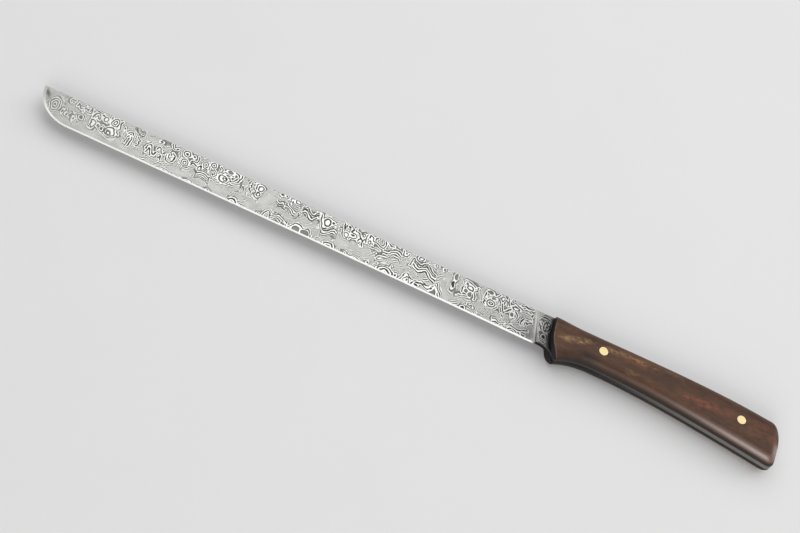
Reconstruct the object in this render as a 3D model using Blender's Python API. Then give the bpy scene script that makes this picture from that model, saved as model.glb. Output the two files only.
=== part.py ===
"""Ham knife: a long slicing blade with a full tang, two wooden scales and two brass pins.

The knife lies flat on its right scale. X runs from the point to the butt, Y from the cutting
edge to the spine, and Z up through the blade's thickness. The shapes are worked out in the
blade's own place, with x = 0 at the point, y = 0 along the spine and z = 0 in the middle of
the steel, and an empty then carries the pieces to the middle of the ground that they cover.
"""

import math

import bmesh
import bpy
from mathutils import Vector
from mathutils.geometry import interpolate_bezier

MM = 0.001

# Blade, from the point to the handle
BLADE_LENGTH = 300.0 * MM
BLADE_DEPTH_AT_POINT = 18.6 * MM
BLADE_DEPTH_AT_HEEL = 19.9 * MM
POINT_SWEEP = 19.5 * MM
SPINE_THICKNESS_AT_POINT = 1.1 * MM
SPINE_THICKNESS_AT_HEEL = 2.8 * MM
THICKNESS_BEHIND_EDGE = 0.55 * MM
SHARPENING_ANGLE = math.radians(19.0)

# Ricasso, the unground steel between the blade and the handle
STOCK_THICKNESS = 3.0 * MM
RICASSO_LENGTH = 10.2 * MM
RICASSO_DEPTH = 18.7 * MM
PLUNGE_LENGTH = 1.5 * MM
PLUNGE_LEAN = math.radians(13.0)

# Handle outline, seen from the side
HANDLE_LENGTH = 138.7 * MM
SPUR_FROM_FRONT = 6.9 * MM
SPUR_DEPTH = 25.0 * MM
SPUR_ANGLE = math.radians(50.0)
FRONT_BOW_LENGTH = 25.0 * MM
HOLLOW_CLIMB = math.radians(28.0)
HOLLOW_FROM_FRONT = 28.5 * MM
HOLLOW_DEPTH = 20.1 * MM
SPINE_SETBACK = 0.9 * MM
SPINE_SETBACK_FROM_FRONT = 18.0 * MM
BUTT_SPINE_DEPTH = 3.9 * MM
BUTT_SPINE_SLOPE = math.radians(6.8)
BUTT_BELLY_DEPTH = 30.3 * MM
BUTT_BELLY_SLOPE = math.radians(7.5)
BUTT_UPPER_CORNER_LENGTH = 8.0 * MM
BUTT_UPPER_CORNER_DEPTH = 15.0 * MM
BUTT_LOWER_CORNER_LENGTH = 3.5 * MM
BUTT_LOWER_CORNER_DEPTH = 2.5 * MM

# Scales
SCALE_THICKNESS = 6.6 * MM
SCALE_WALL = 1.0 * MM
SPINE_ROUNDING = 10.0 * MM
BELLY_ROUNDING = 6.0 * MM
BUTT_ROUNDING = 6.0 * MM
FRONT_ROUNDING = 0.8 * MM

# Pins
PIN_DIAMETER = 5.0 * MM
FRONT_PIN_FROM_FRONT = 29.6 * MM
REAR_PIN_FROM_BUTT = 25.1 * MM
FRONT_PIN_OVER_MIDDLE = -0.2 * MM
REAR_PIN_OVER_MIDDLE = 1.0 * MM

# Clearances
GLUE_GAP = 0.3 * MM
PIN_CLEARANCE = 0.3 * MM

# How far the choil holds its level run and its fall to the spur, as shares of its length
CHOIL_LEVEL_SHARE = 0.62
CHOIL_FALL_SHARE = 0.3

# Most of a section's length that one rounded shoulder may take
SHOULDER_LIMIT = 0.45

# Power of the depth with which the handle's front sweeps back from square to the spur
FRONT_SWEEP_POWER = 4

# Steps that round stretches are cut into
SWEEP_STEPS = 14
EDGE_STEPS = 12
PLUNGE_STEPS = 3
CHOIL_STEPS = 8
HOLLOW_STEPS = 8
GRIP_STEPS = 16
CORNER_STEPS = 8
SHOULDER_STEPS = 6
CROWN_STEPS = 3
FRONT_STEPS = 3
PIN_SIDES = 48

# Places that follow from the sizes above
HANDLE_FRONT = BLADE_LENGTH
BUTT = BLADE_LENGTH + HANDLE_LENGTH
RICASSO_FRONT = HANDLE_FRONT - RICASSO_LENGTH
GRIND_END = RICASSO_FRONT - PLUNGE_LENGTH
STOCK_HALF = STOCK_THICKNESS / 2


def mix(a, b, share):
    """The value that lies the given share of the way from a to b."""
    return a + (b - a) * share


def rise(distance, width):
    """Quarter-ellipse rise from 0 at an edge to 1 at the given width from it."""
    short = 1 - min(max(distance / width, 0.0), 1.0)
    return math.sqrt(1 - short * short)


def curve(start, start_slope, end, end_slope, steps):
    """Cubic from start to end with the given slopes there and handles a third of its run long."""
    run = (end[0] - start[0]) / 3
    points = interpolate_bezier(
        Vector((start[0], start[1], 0)),
        Vector((start[0] + run, start[1] + run * start_slope, 0)),
        Vector((end[0] - run, end[1] - run * end_slope, 0)),
        Vector((end[0], end[1], 0)),
        steps + 1,
    )
    return [(point.x, point.y) for point in points]


def corner(start, end, steps):
    """Quarter ellipse that leaves start along X and reaches end along Y."""
    points = []
    for step in range(1, steps + 1):
        turn = math.pi / 2 * step / steps
        x = mix(start[0], end[0], math.sin(turn))
        y = mix(end[1], start[1], math.cos(turn))
        points.append((x, y))
    return points


def blade_depth(x):
    """Depth of the blade below its spine, swelling with the cube of the way to the heel."""
    share = min(max((x - POINT_SWEEP) / (GRIND_END - POINT_SWEEP), 0.0), 1.0)
    return mix(BLADE_DEPTH_AT_POINT, BLADE_DEPTH_AT_HEEL, share ** 3)


def ground_half(x, y):
    """Half thickness of the flat-ground blade at a point of its side."""
    spine = mix(SPINE_THICKNESS_AT_POINT, SPINE_THICKNESS_AT_HEEL, x / GRIND_END) / 2
    return mix(spine, THICKNESS_BEHIND_EDGE / 2, -y / blade_depth(x))


def shoulder_of(edge, inward):
    """Point where the sharpened bevel that starts at an edge point meets the blade's side."""
    width = THICKNESS_BEHIND_EDGE / 2 / math.tan(SHARPENING_ANGLE)
    for _ in range(4):
        x = edge[0] + inward[0] * width
        y = edge[1] + inward[1] * width
        width = ground_half(x, y) / math.tan(SHARPENING_ANGLE)
    return x, y


def steel_ring(spine, shoulder, edge, spine_half, shoulder_half):
    """Five points round the steel: two at the spine, two at the lower shoulders, one on the edge."""
    return [
        (spine[0], spine[1], -spine_half),
        (spine[0], spine[1], spine_half),
        (shoulder[0], shoulder[1], shoulder_half),
        (edge[0], edge[1], 0.0),
        (shoulder[0], shoulder[1], -shoulder_half),
    ]


def point_rings():
    """Sections of the blade's point, where the edge sweeps up to the spine in a quarter ellipse."""
    rings = []
    first = shoulder_of((0.0, 0.0), (1.0, 0.0))[0]
    for step in range(SWEEP_STEPS + 1):
        turn = math.pi / 2 * step / SWEEP_STEPS
        edge = (POINT_SWEEP * (1 - math.cos(turn)), -BLADE_DEPTH_AT_POINT * math.sin(turn))
        inward = Vector((BLADE_DEPTH_AT_POINT * math.cos(turn), POINT_SWEEP * math.sin(turn)))
        inward.normalize()
        shoulder = shoulder_of(edge, inward)
        spine = (mix(first, POINT_SWEEP, step / SWEEP_STEPS), 0.0)
        halves = ground_half(*spine), ground_half(*shoulder)
        rings.append(steel_ring(spine, shoulder, edge, *halves))
    return rings


def heel():
    """Lower end of the ground blade, where the plunge line reaches the edge."""
    return GRIND_END + BLADE_DEPTH_AT_HEEL * math.tan(PLUNGE_LEAN), -BLADE_DEPTH_AT_HEEL


def edge_rings():
    """Sections of the blade from the end of its point to the plunge, leaning more and more."""
    rings = []
    for step in range(1, EDGE_STEPS + 1):
        share = step / EDGE_STEPS
        spine = (mix(POINT_SWEEP, GRIND_END, share), 0.0)
        x = mix(POINT_SWEEP, heel()[0], share)
        edge = (x, -blade_depth(x))
        shoulder = shoulder_of(edge, (0.0, 1.0))
        halves = ground_half(*spine), ground_half(*shoulder)
        rings.append(steel_ring(spine, shoulder, edge, *halves))
    return rings


def ricasso_heel():
    """Lower front corner of the ricasso, behind the plunge."""
    return RICASSO_FRONT + RICASSO_DEPTH * math.tan(PLUNGE_LEAN), -RICASSO_DEPTH


def plunge_rings(ground):
    """Sections that swell from the last ground one to the full stock in a hollow quarter round."""
    low = ricasso_heel()
    full = steel_ring((RICASSO_FRONT, 0.0), low, low, STOCK_HALF, STOCK_HALF)
    rings = []
    for step in range(1, PLUNGE_STEPS + 1):
        turn = math.pi / 2 * step / PLUNGE_STEPS
        ring = []
        for thin, thick in zip(ground, full):
            x = mix(thin[0], thick[0], math.sin(turn))
            y = mix(thin[1], thick[1], math.sin(turn))
            z = mix(thin[2], thick[2], 1 - math.cos(turn))
            ring.append((x, y, z))
        rings.append(ring)
    return rings


def spur():
    """Tip of the spur in front of the finger hollow, at the lower end of the handle's front."""
    return HANDLE_FRONT + SPUR_FROM_FRONT, -SPUR_DEPTH


def choil_rings():
    """Sections of the ricasso, whose lower side is level and then falls to the spur."""
    start = ricasso_heel()
    end = spur()
    level = (end[0] - start[0]) * CHOIL_LEVEL_SHARE
    fall = (end[0] - start[0]) * CHOIL_FALL_SHARE
    steepness = Vector((math.cos(SPUR_ANGLE), -math.sin(SPUR_ANGLE)))
    lower = interpolate_bezier(
        Vector((start[0], start[1], 0)),
        Vector((start[0] + level, start[1], 0)),
        Vector((end[0] - fall * steepness.x, end[1] - fall * steepness.y, 0)),
        Vector((end[0], end[1], 0)),
        CHOIL_STEPS + 1,
    )
    rings = []
    for step in range(1, CHOIL_STEPS + 1):
        spine = (mix(RICASSO_FRONT, HANDLE_FRONT, step / CHOIL_STEPS), 0.0)
        low = (lower[step].x, lower[step].y)
        rings.append(steel_ring(spine, low, low, STOCK_HALF, STOCK_HALF))
    return rings


def spine_rail():
    """Upper outline of the handle, from its front to the butt."""
    front = (HANDLE_FRONT, 0.0)
    setback = (HANDLE_FRONT + SPINE_SETBACK_FROM_FRONT, -SPINE_SETBACK)
    back = (BUTT - BUTT_UPPER_CORNER_LENGTH, -BUTT_SPINE_DEPTH)
    last = (BUTT, -BUTT_SPINE_DEPTH - BUTT_UPPER_CORNER_DEPTH)
    points = curve(front, 0.0, setback, 0.0, HOLLOW_STEPS)
    points += curve(setback, 0.0, back, -math.tan(BUTT_SPINE_SLOPE), GRIP_STEPS)[1:]
    return points + corner(back, last, CORNER_STEPS)


def belly_rail():
    """Lower outline of the handle: out of the spur, over the finger hollow and down to the butt."""
    front = spur()
    hollow = (HANDLE_FRONT + HOLLOW_FROM_FRONT, -HOLLOW_DEPTH)
    back = (BUTT - BUTT_LOWER_CORNER_LENGTH, -BUTT_BELLY_DEPTH)
    last = (BUTT, -BUTT_BELLY_DEPTH + BUTT_LOWER_CORNER_DEPTH)
    points = curve(front, math.tan(HOLLOW_CLIMB), hollow, 0.0, HOLLOW_STEPS)
    points += curve(hollow, 0.0, back, -math.tan(BUTT_BELLY_SLOPE), GRIP_STEPS)[1:]
    return points + corner(back, last, CORNER_STEPS)


def tang_rings():
    """Sections of the tang behind the handle's front, as deep as the scales that cover it."""
    rings = []
    for spine, low in list(zip(spine_rail(), belly_rail()))[1:]:
        rings.append(steel_ring(spine, low, low, STOCK_HALF, STOCK_HALF))
    return rings


def shoulder_spacing(width):
    """Distances from an edge over its rounded shoulder, close together where it is steep."""
    turns = [math.pi / 2 * step / SHOULDER_STEPS for step in range(SHOULDER_STEPS + 1)]
    return [width * (1 - math.cos(turn)) for turn in turns]


def crossings(length, upper_width, lower_width):
    """Distances from the spine at which a section of the given length has its points."""
    upper = shoulder_spacing(upper_width)
    lower = [length - distance for distance in reversed(shoulder_spacing(lower_width))]
    crown = [mix(upper[-1], lower[0], step / CROWN_STEPS) for step in range(1, CROWN_STEPS)]
    return upper + crown + lower


def front_bow(from_front, share):
    """How far a section bows toward the point, which fades out behind the handle's front."""
    fade = 1 - min(from_front / FRONT_BOW_LENGTH, 1.0)
    return SPUR_FROM_FRONT * (share - share ** FRONT_SWEEP_POWER) * fade


def scale_ring(spine, low, from_front):
    """Points over one section of a scale, from the tang's face at the spine to that at the belly."""
    length = math.dist(spine, low)
    upper_width = min(SPINE_ROUNDING, length * SHOULDER_LIMIT)
    lower_width = min(BELLY_ROUNDING, length * SHOULDER_LIMIT)
    sink = FRONT_ROUNDING * (1 - rise(from_front, FRONT_ROUNDING))
    ring = [(spine[0], spine[1], STOCK_HALF + GLUE_GAP)]
    for distance in crossings(length, upper_width, lower_width):
        x = mix(spine[0], low[0], distance / length) - front_bow(from_front, distance / length)
        y = mix(spine[1], low[1], distance / length)
        rounding = rise(distance, upper_width) * rise(length - distance, lower_width)
        rounding *= rise(BUTT - x, BUTT_ROUNDING)
        z = STOCK_HALF + mix(SCALE_WALL, SCALE_THICKNESS, rounding) - sink
        ring.append((x, y, z))
    ring.append((low[0], low[1], STOCK_HALF + GLUE_GAP))
    return ring


def front_stations():
    """Sections close behind the handle's front, over its rounded front edge."""
    stations = []
    first, second = spine_rail()[:2], belly_rail()[:2]
    run = first[1][0] - first[0][0]
    for step in range(FRONT_STEPS + 1):
        behind = FRONT_ROUNDING * (1 - math.cos(math.pi / 2 * step / FRONT_STEPS))
        share = behind / run
        spine = (mix(first[0][0], first[1][0], share), mix(first[0][1], first[1][1], share))
        low = (mix(second[0][0], second[1][0], share), mix(second[0][1], second[1][1], share))
        stations.append((spine, low, behind))
    return stations


def scale_rings():
    """Sections of a scale from its rounded front to the butt."""
    stations = front_stations()
    for spine, low in list(zip(spine_rail(), belly_rail()))[1:]:
        stations.append((spine, low, spine[0] - HANDLE_FRONT))
    return [scale_ring(*station) for station in stations]


def skin(name, rings, side=1.0):
    """Closed mesh over a row of sections, each joined to the next and both ends capped."""
    shape = bmesh.new()
    rows = []
    for ring in rings:
        rows.append([shape.verts.new((x, y, z * side)) for x, y, z in ring])
    count = len(rings[0])
    for row, following in zip(rows, rows[1:]):
        for index in range(count):
            after = (index + 1) % count
            shape.faces.new((row[index], row[after], following[after], following[index]))
    shape.faces.new(rows[0])
    shape.faces.new(rows[-1])
    bmesh.ops.remove_doubles(shape, verts=shape.verts, dist=0.001 * MM)
    bmesh.ops.triangulate(shape, faces=shape.faces)
    bmesh.ops.recalc_face_normals(shape, faces=shape.faces)
    mesh = bpy.data.meshes.new(name)
    shape.to_mesh(mesh)
    shape.free()
    mesh.shade_smooth()
    mesh.set_sharp_from_angle(angle=math.radians(30.0))
    return mesh


def material(name, colour, roughness, metallic):
    """Plain principled finish."""
    finish = bpy.data.materials.new(name)
    finish.use_nodes = True
    shader = finish.node_tree.nodes["Principled BSDF"]
    shader.inputs["Base Color"].default_value = (*colour, 1.0)
    shader.inputs["Roughness"].default_value = roughness
    shader.inputs["Metallic"].default_value = metallic
    return finish


def steel_finish():
    """Etched layered steel, light grey."""
    return material("layered_steel", (0.52, 0.51, 0.49), 0.38, 1.0)


def wood_finish():
    """Dark oiled hardwood."""
    return material("dark_wood", (0.085, 0.048, 0.032), 0.36, 0.0)


def brass_finish():
    """Polished brass."""
    return material("brass", (0.83, 0.63, 0.30), 0.25, 1.0)


def place(name, mesh, finish, parent):
    """Object of the given mesh and finish, held by the knife's empty."""
    mesh.materials.append(finish)
    piece = bpy.data.objects.new(name, mesh)
    piece.parent = parent
    bpy.context.scene.collection.objects.link(piece)
    return piece


def height_at(rail, x):
    """Height of an outline at a place along the handle."""
    for start, end in zip(rail, rail[1:]):
        if start[0] <= x <= end[0]:
            return mix(start[1], end[1], (x - start[0]) / (end[0] - start[0]))
    return rail[-1][1]


def pin_place(x, over_middle):
    """Centre of a pin, set from the middle between the handle's upper and lower outlines."""
    middle = (height_at(spine_rail(), x) + height_at(belly_rail(), x)) / 2
    return x, middle + over_middle


def pin_places():
    """Name and centre of each pin."""
    return {
        "front": pin_place(HANDLE_FRONT + FRONT_PIN_FROM_FRONT, FRONT_PIN_OVER_MIDDLE),
        "rear": pin_place(BUTT - REAR_PIN_FROM_BUTT, REAR_PIN_OVER_MIDDLE),
    }


def rod(name, radius, half_length):
    """Round rod that stands along Z with its middle at the origin."""
    shape = bmesh.new()
    bmesh.ops.create_cone(
        shape, cap_ends=True, segments=PIN_SIDES, radius1=radius, radius2=radius, depth=2 * half_length
    )
    mesh = bpy.data.meshes.new(name)
    shape.to_mesh(mesh)
    shape.free()
    mesh.shade_smooth()
    mesh.set_sharp_from_angle(angle=math.radians(30.0))
    return mesh


def drill(piece, name, centre, parent):
    """Pin hole through a piece, wider than the pin by its clearance all round."""
    mesh = rod(name, PIN_DIAMETER / 2 + PIN_CLEARANCE, 2 * (STOCK_HALF + SCALE_THICKNESS))
    cutter = bpy.data.objects.new(name, mesh)
    cutter.parent = parent
    cutter.location = (centre[0], centre[1], 0.0)
    cutter.hide_render = True
    cutter.display_type = "WIRE"
    bpy.context.scene.collection.objects.link(cutter)
    hole = piece.modifiers.new(name, "BOOLEAN")
    hole.operation = "DIFFERENCE"
    hole.solver = "EXACT"
    hole.object = cutter


def make_blade(parent):
    """Blade, ricasso and tang, forged and ground from one piece of steel."""
    ground = point_rings() + edge_rings()
    rings = ground + plunge_rings(ground[-1]) + choil_rings() + tang_rings()
    return place("blade_and_tang", skin("blade_and_tang", rings), steel_finish(), parent)


def make_scale(name, side, parent):
    """One wooden scale, glued and pinned to a face of the tang."""
    return place(name, skin(name, scale_rings(), side), wood_finish(), parent)


def make_pin(name, centre, parent):
    """Brass pin through both scales and the tang, ended flush with the crowns."""
    half_length = STOCK_HALF + SCALE_THICKNESS
    pin = place(name, rod(name, PIN_DIAMETER / 2, half_length), brass_finish(), parent)
    pin.location = (centre[0], centre[1], 0.0)
    return pin


def middle_of_ground(pieces):
    """Middle of the box round the pieces, at the height of its lowest point."""
    corners = [vertex.co for piece in pieces for vertex in piece.data.vertices]
    low = [min(corner_point[axis] for corner_point in corners) for axis in range(3)]
    high = [max(corner_point[axis] for corner_point in corners) for axis in range(3)]
    return Vector(((low[0] + high[0]) / 2, (low[1] + high[1]) / 2, low[2]))


def clear_scene():
    """Remove what the scene starts with."""
    for piece in list(bpy.data.objects):
        bpy.data.objects.remove(piece)


def build_knife():
    """Make the five pieces, drill them for the pins and set the knife down on its right scale."""
    knife = bpy.data.objects.new("knife", None)
    bpy.context.scene.collection.objects.link(knife)
    blade = make_blade(knife)
    left = make_scale("left_scale", 1.0, knife)
    right = make_scale("right_scale", -1.0, knife)
    for place_name, centre in pin_places().items():
        for piece in (blade, left, right):
            drill(piece, f"{place_name}_hole_in_{piece.name}", centre, knife)
        make_pin(f"{place_name}_pin", centre, knife)
    knife.location = -middle_of_ground((blade, left, right))


clear_scene()
build_knife()
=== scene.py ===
"""Ham knife in a plain studio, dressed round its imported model.

The knife lies flat on its right scale. X runs from the point to the butt, Y from the cutting edge
to the spine and Z up. Shapes are worked out in the knife's own place, with x = 0 at the point,
y = 0 along the spine and z = 0 in the middle of the steel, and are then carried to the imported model.
Lengths are in metres where nothing says millimetres.
"""

import logging
import math
from collections.abc import Callable, Sequence
from dataclasses import dataclass
from enum import Enum, IntEnum

import bmesh
import bpy
import numpy as np
from mathutils import Matrix, Vector


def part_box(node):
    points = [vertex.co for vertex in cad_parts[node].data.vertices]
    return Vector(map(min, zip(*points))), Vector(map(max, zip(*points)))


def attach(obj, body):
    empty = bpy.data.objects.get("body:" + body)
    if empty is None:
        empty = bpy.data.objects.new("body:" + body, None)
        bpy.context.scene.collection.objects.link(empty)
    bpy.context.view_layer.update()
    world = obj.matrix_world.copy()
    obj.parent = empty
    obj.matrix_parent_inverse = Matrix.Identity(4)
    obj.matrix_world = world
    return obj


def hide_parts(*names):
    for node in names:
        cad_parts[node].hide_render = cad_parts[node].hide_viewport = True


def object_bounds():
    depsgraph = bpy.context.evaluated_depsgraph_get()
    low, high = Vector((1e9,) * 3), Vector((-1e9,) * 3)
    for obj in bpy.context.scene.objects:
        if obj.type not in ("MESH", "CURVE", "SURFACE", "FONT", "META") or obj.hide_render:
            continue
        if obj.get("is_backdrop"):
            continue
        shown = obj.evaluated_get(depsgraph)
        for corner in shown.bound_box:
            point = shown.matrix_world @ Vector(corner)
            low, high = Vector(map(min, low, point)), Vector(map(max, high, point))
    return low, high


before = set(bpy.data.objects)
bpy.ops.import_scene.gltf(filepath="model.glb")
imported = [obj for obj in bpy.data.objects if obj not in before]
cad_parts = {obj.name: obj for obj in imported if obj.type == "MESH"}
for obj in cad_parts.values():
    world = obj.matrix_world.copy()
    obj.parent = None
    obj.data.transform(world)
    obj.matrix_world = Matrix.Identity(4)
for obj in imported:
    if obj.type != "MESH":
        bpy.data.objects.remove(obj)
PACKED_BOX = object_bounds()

log = logging.getLogger("ham_knife")

MM = 0.001
MERGED = 0.0005 * MM  # points closer than this become one
SHORTEST = 1e-12  # least length that a vector is divided by
CURVE_STEPS = 200  # steps along a swept curve
CORNER_SHARE = 0.45  # most of a side that an eased corner takes up
THROUGH = 1.0e6  # half height of a spot, which goes right through the knife
BLACK = (0.0, 0.0, 0.0)

# Of the steel's figure
SOFT_BORDER = (1.25, 0.75)  # an oval's border, as shares of its size
STRETCH_STEPS = 5  # steps from one point of a strand to the next
SLANT_SHARE = 0.8  # what a depth across slanting folds counts for as a distance
WIDE_CORE = 0.45  # least share of an eye at which its dark core is filled paler
CORE_BORDER = 0.1  # soft border of such a core, as a share of the eye


# Curves


def blend(start: np.ndarray, end: np.ndarray, share: np.ndarray) -> np.ndarray:
    """Value that lies the given share of the way from start to end."""
    return start + (end - start) * share


def rise(distance: np.ndarray, width: np.ndarray) -> np.ndarray:
    """Quarter ellipse: the root of 1 - (1 - distance / width) squared, held at 1 past the width."""
    short = 1.0 - np.clip(distance / width, 0.0, 1.0)
    return np.sqrt(1.0 - short * short)


def fade_in(value: np.ndarray, start: float, end: float) -> np.ndarray:
    """Smooth step from 0 at start to 1 at end: three times the square less twice the cube."""
    held = np.clip((value - start) / (end - start), 0.0, 1.0)
    return held * held * (3.0 - 2.0 * held)


def quarter(steps: int) -> np.ndarray:
    """Angles from nothing to a quarter turn."""
    return np.linspace(0.0, math.pi / 2, steps + 1)


def steps_between(start: float, end: float, steps: int) -> np.ndarray:
    """Even steps that follow start, up to and with end."""
    return np.linspace(start, end, steps + 1)[1:]


def length_of(vectors: np.ndarray) -> np.ndarray:
    """Lengths of vectors, kept as a last axis of one."""
    return np.linalg.norm(vectors, axis=-1, keepdims=True)


def unit(vectors: np.ndarray) -> np.ndarray:
    """Vectors brought to length 1, where a vector of no length stays as it is."""
    return vectors / np.maximum(length_of(vectors), SHORTEST)


def bezier(points: Sequence[tuple[float, float]], share: np.ndarray) -> np.ndarray:
    """Cubic that weighs its four control points by the powers of share and 1 - share.

    Args:
        points: The four control points.
        share: How far along the cubic each place is, from 0 to 1.

    Returns:
        Places on the cubic, one row each.
    """
    first, second, third, fourth = (np.array(point) for point in points)
    t = share[:, None]
    u = 1.0 - t
    return u**3 * first + 3 * u * u * t * second + 3 * u * t * t * third + t**3 * fourth


def swept(start: tuple, start_slope: float, end: tuple, end_slope: float) -> np.ndarray:
    """Cubic between two points with handles a third of its run long.

    Args:
        start: Where it starts.
        start_slope: Its slope there.
        end: Where it ends.
        end_slope: Its slope there.

    Returns:
        Places close together along it.
    """
    run = (end[0] - start[0]) / 3
    second = (start[0] + run, start[1] + run * start_slope)
    third = (end[0] - run, end[1] - run * end_slope)
    return bezier((start, second, third, end), np.linspace(0.0, 1.0, CURVE_STEPS + 1))


def eased(
    before: np.ndarray, corner: np.ndarray, after: np.ndarray, radius: np.ndarray, steps: int
) -> np.ndarray:
    """Corner cut by a parabola: the start, corner and end weighed by (1-t)^2, 2t(1-t) and t^2.

    Args:
        before: Point before each corner.
        corner: The corners.
        after: Point after each corner.
        radius: How far from each corner the curve starts and ends.
        steps: Steps along the curve.

    Returns:
        Points by steps + 1 places by 3.
    """
    start, end = (
        (corner + unit(way) * np.minimum(radius, CORNER_SHARE * length_of(way)))[:, None, :]
        for way in (before - corner, after - corner)
    )
    t = np.linspace(0.0, 1.0, steps + 1)[None, :, None]
    return (1 - t) ** 2 * start + 2 * t * (1 - t) * corner[:, None, :] + t * t * end


def straight(start: np.ndarray, end: np.ndarray, steps: int) -> np.ndarray:
    """Points inside the straight way from start to end, without its ends."""
    t = np.linspace(0.0, 1.0, steps + 1)[1:-1][None, :, None]
    return start[:, None, :] * (1 - t) + end[:, None, :] * t


# Closed surfaces


def border_of(block: np.ndarray) -> np.ndarray:
    """Entries round the border of a grid, in turn."""
    return np.concatenate([block[:-1, 0], block[-1, :-1], block[:0:-1, -1], block[0, :0:-1]])


def carried(points: np.ndarray) -> np.ndarray:
    """Points of the knife's own place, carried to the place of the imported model."""
    low, high = (np.array(corner) for corner in PACKED_BOX)
    return points + np.array([low[0], high[1], (low[2] + high[2]) / 2])


HOME = carried(np.zeros(3))  # origin of the knife's own place


def own_places(mesh: bpy.types.Mesh) -> np.ndarray:
    """Places of a mesh's points in the knife's own place.

    Args:
        mesh: The mesh.

    Returns:
        One row each.
    """
    places = np.empty(len(mesh.vertices) * 3)
    mesh.vertices.foreach_get("co", places)
    return places.reshape(-1, 3) - HOME


def write_marks(mesh: bpy.types.Mesh, name: str, values: np.ndarray) -> None:
    """Give each point of a mesh its number, for a material to read."""
    mesh.attributes.new(name, "FLOAT", "POINT").data.foreach_set("value", values.astype(np.float32))


class Skin:
    """Closed surface gathered from grids of points, with quads over their index arrays."""

    def __init__(self) -> None:
        """Start with no points and no faces."""
        self.points: list[np.ndarray] = []
        self.faces: list[np.ndarray] = []
        self.finishes: list[np.ndarray] = []
        self.count = 0

    def grid(self, points: np.ndarray) -> np.ndarray:
        """Take in a grid of points.

        Args:
            points: Rows by columns by 3.

        Returns:
            Index of each point, rows by columns.
        """
        rows, columns = points.shape[:2]
        index = self.count + np.arange(rows * columns).reshape(rows, columns)
        self.points.append(points.reshape(-1, 3))
        self.count += rows * columns
        return index

    def cover(
        self, index: np.ndarray, kept: np.ndarray | bool = True, finish: np.ndarray | int = 0
    ) -> None:
        """Lay a quad over each cell of an index grid.

        Args:
            index: Point indices, rows by columns.
            kept: Which cells get a quad.
            finish: Number of each cell's finish.
        """
        quads = np.stack((index[:-1, :-1], index[1:, :-1], index[1:, 1:], index[:-1, 1:]), axis=-1)
        cells = quads.shape[:2]
        chosen = np.broadcast_to(kept, cells)
        self.faces.append(quads[chosen])
        self.finishes.append(np.broadcast_to(finish, cells)[chosen])

    def bridge(self, first: np.ndarray, second: np.ndarray, finish: int = 0) -> None:
        """Join two closed loops of as many points with a band of quads."""
        band = np.stack([first, second], axis=1)
        self.cover(np.concatenate([band, band[:1]]), finish=finish)

    def raw(self, name: str, points: np.ndarray) -> bpy.types.Mesh:
        """New mesh with the faces that were taken in, as they are.

        Args:
            name: Name of the mesh.
            points: Places of the points, one row each.

        Returns:
            The new mesh.
        """
        mesh = bpy.data.meshes.new(name)
        mesh.from_pydata(points.tolist(), [], np.concatenate(self.faces).tolist())
        return mesh

    def mesh(self, name: str, crease: float) -> bpy.types.Mesh:
        """Mesh of all that was taken in, merged, closed and turned outward.

        Args:
            name: Name of the mesh.
            crease: Angle in degrees past which an edge stays sharp.

        Returns:
            The new mesh.
        """
        mesh = self.raw(name, carried(np.concatenate(self.points)))
        mesh.polygons.foreach_set("material_index", np.concatenate(self.finishes).astype(np.int32))
        shape = bmesh.new()
        shape.from_mesh(mesh)
        bmesh.ops.remove_doubles(shape, verts=shape.verts, dist=MERGED)
        bmesh.ops.recalc_face_normals(shape, faces=shape.faces)
        shape.to_mesh(mesh)
        shape.free()
        mesh.shade_smooth()
        mesh.set_sharp_from_angle(angle=math.radians(crease))
        return mesh


@dataclass(frozen=True)
class Hole:
    """Round hole through a slab, joined to a window in the slab's grid."""

    x: float
    y: float
    radius: float
    reach: float = 4.2 * MM
    rings: int = 6

    def window(self, flat: np.ndarray) -> tuple[slice, slice]:
        """Part of a slab's grid that lies within reach of the hole's middle.

        Args:
            flat: Plan of the grid, rows by columns by 2.

        Returns:
            Its rows and its columns.
        """
        rows = np.flatnonzero(np.abs(flat[:, flat.shape[1] // 2, 0] - self.x) < self.reach)
        columns = np.flatnonzero(np.abs(flat[rows[len(rows) // 2], :, 1] - self.y) < self.reach)
        return slice(rows[0], rows[-1] + 1), slice(columns[0], columns[-1] + 1)

    def rim(self, border: np.ndarray) -> np.ndarray:
        """Rings from the window's border to the hole's circle, each point in its own direction.

        Args:
            border: Points of the border, one row each.

        Returns:
            Rings by points by 2, from the first past the border to the hole's edge.
        """
        middle = np.array([self.x, self.y])
        circle = middle + unit(border - middle) * self.radius
        share = steps_between(0.0, 1.0, self.rings)[:, None, None]
        return border[None] * (1 - share) + circle[None] * share


@dataclass
class Side:
    """One side of a slab: its height over the grid, and over any place near a hole."""

    height: np.ndarray
    height_at: Callable[[np.ndarray], np.ndarray]


def level_side(shape: tuple, height: float) -> Side:
    """Side of one height over a grid of that shape."""
    return Side(np.full(shape, height), lambda plan: np.full(plan.shape[:-1], height))


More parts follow.
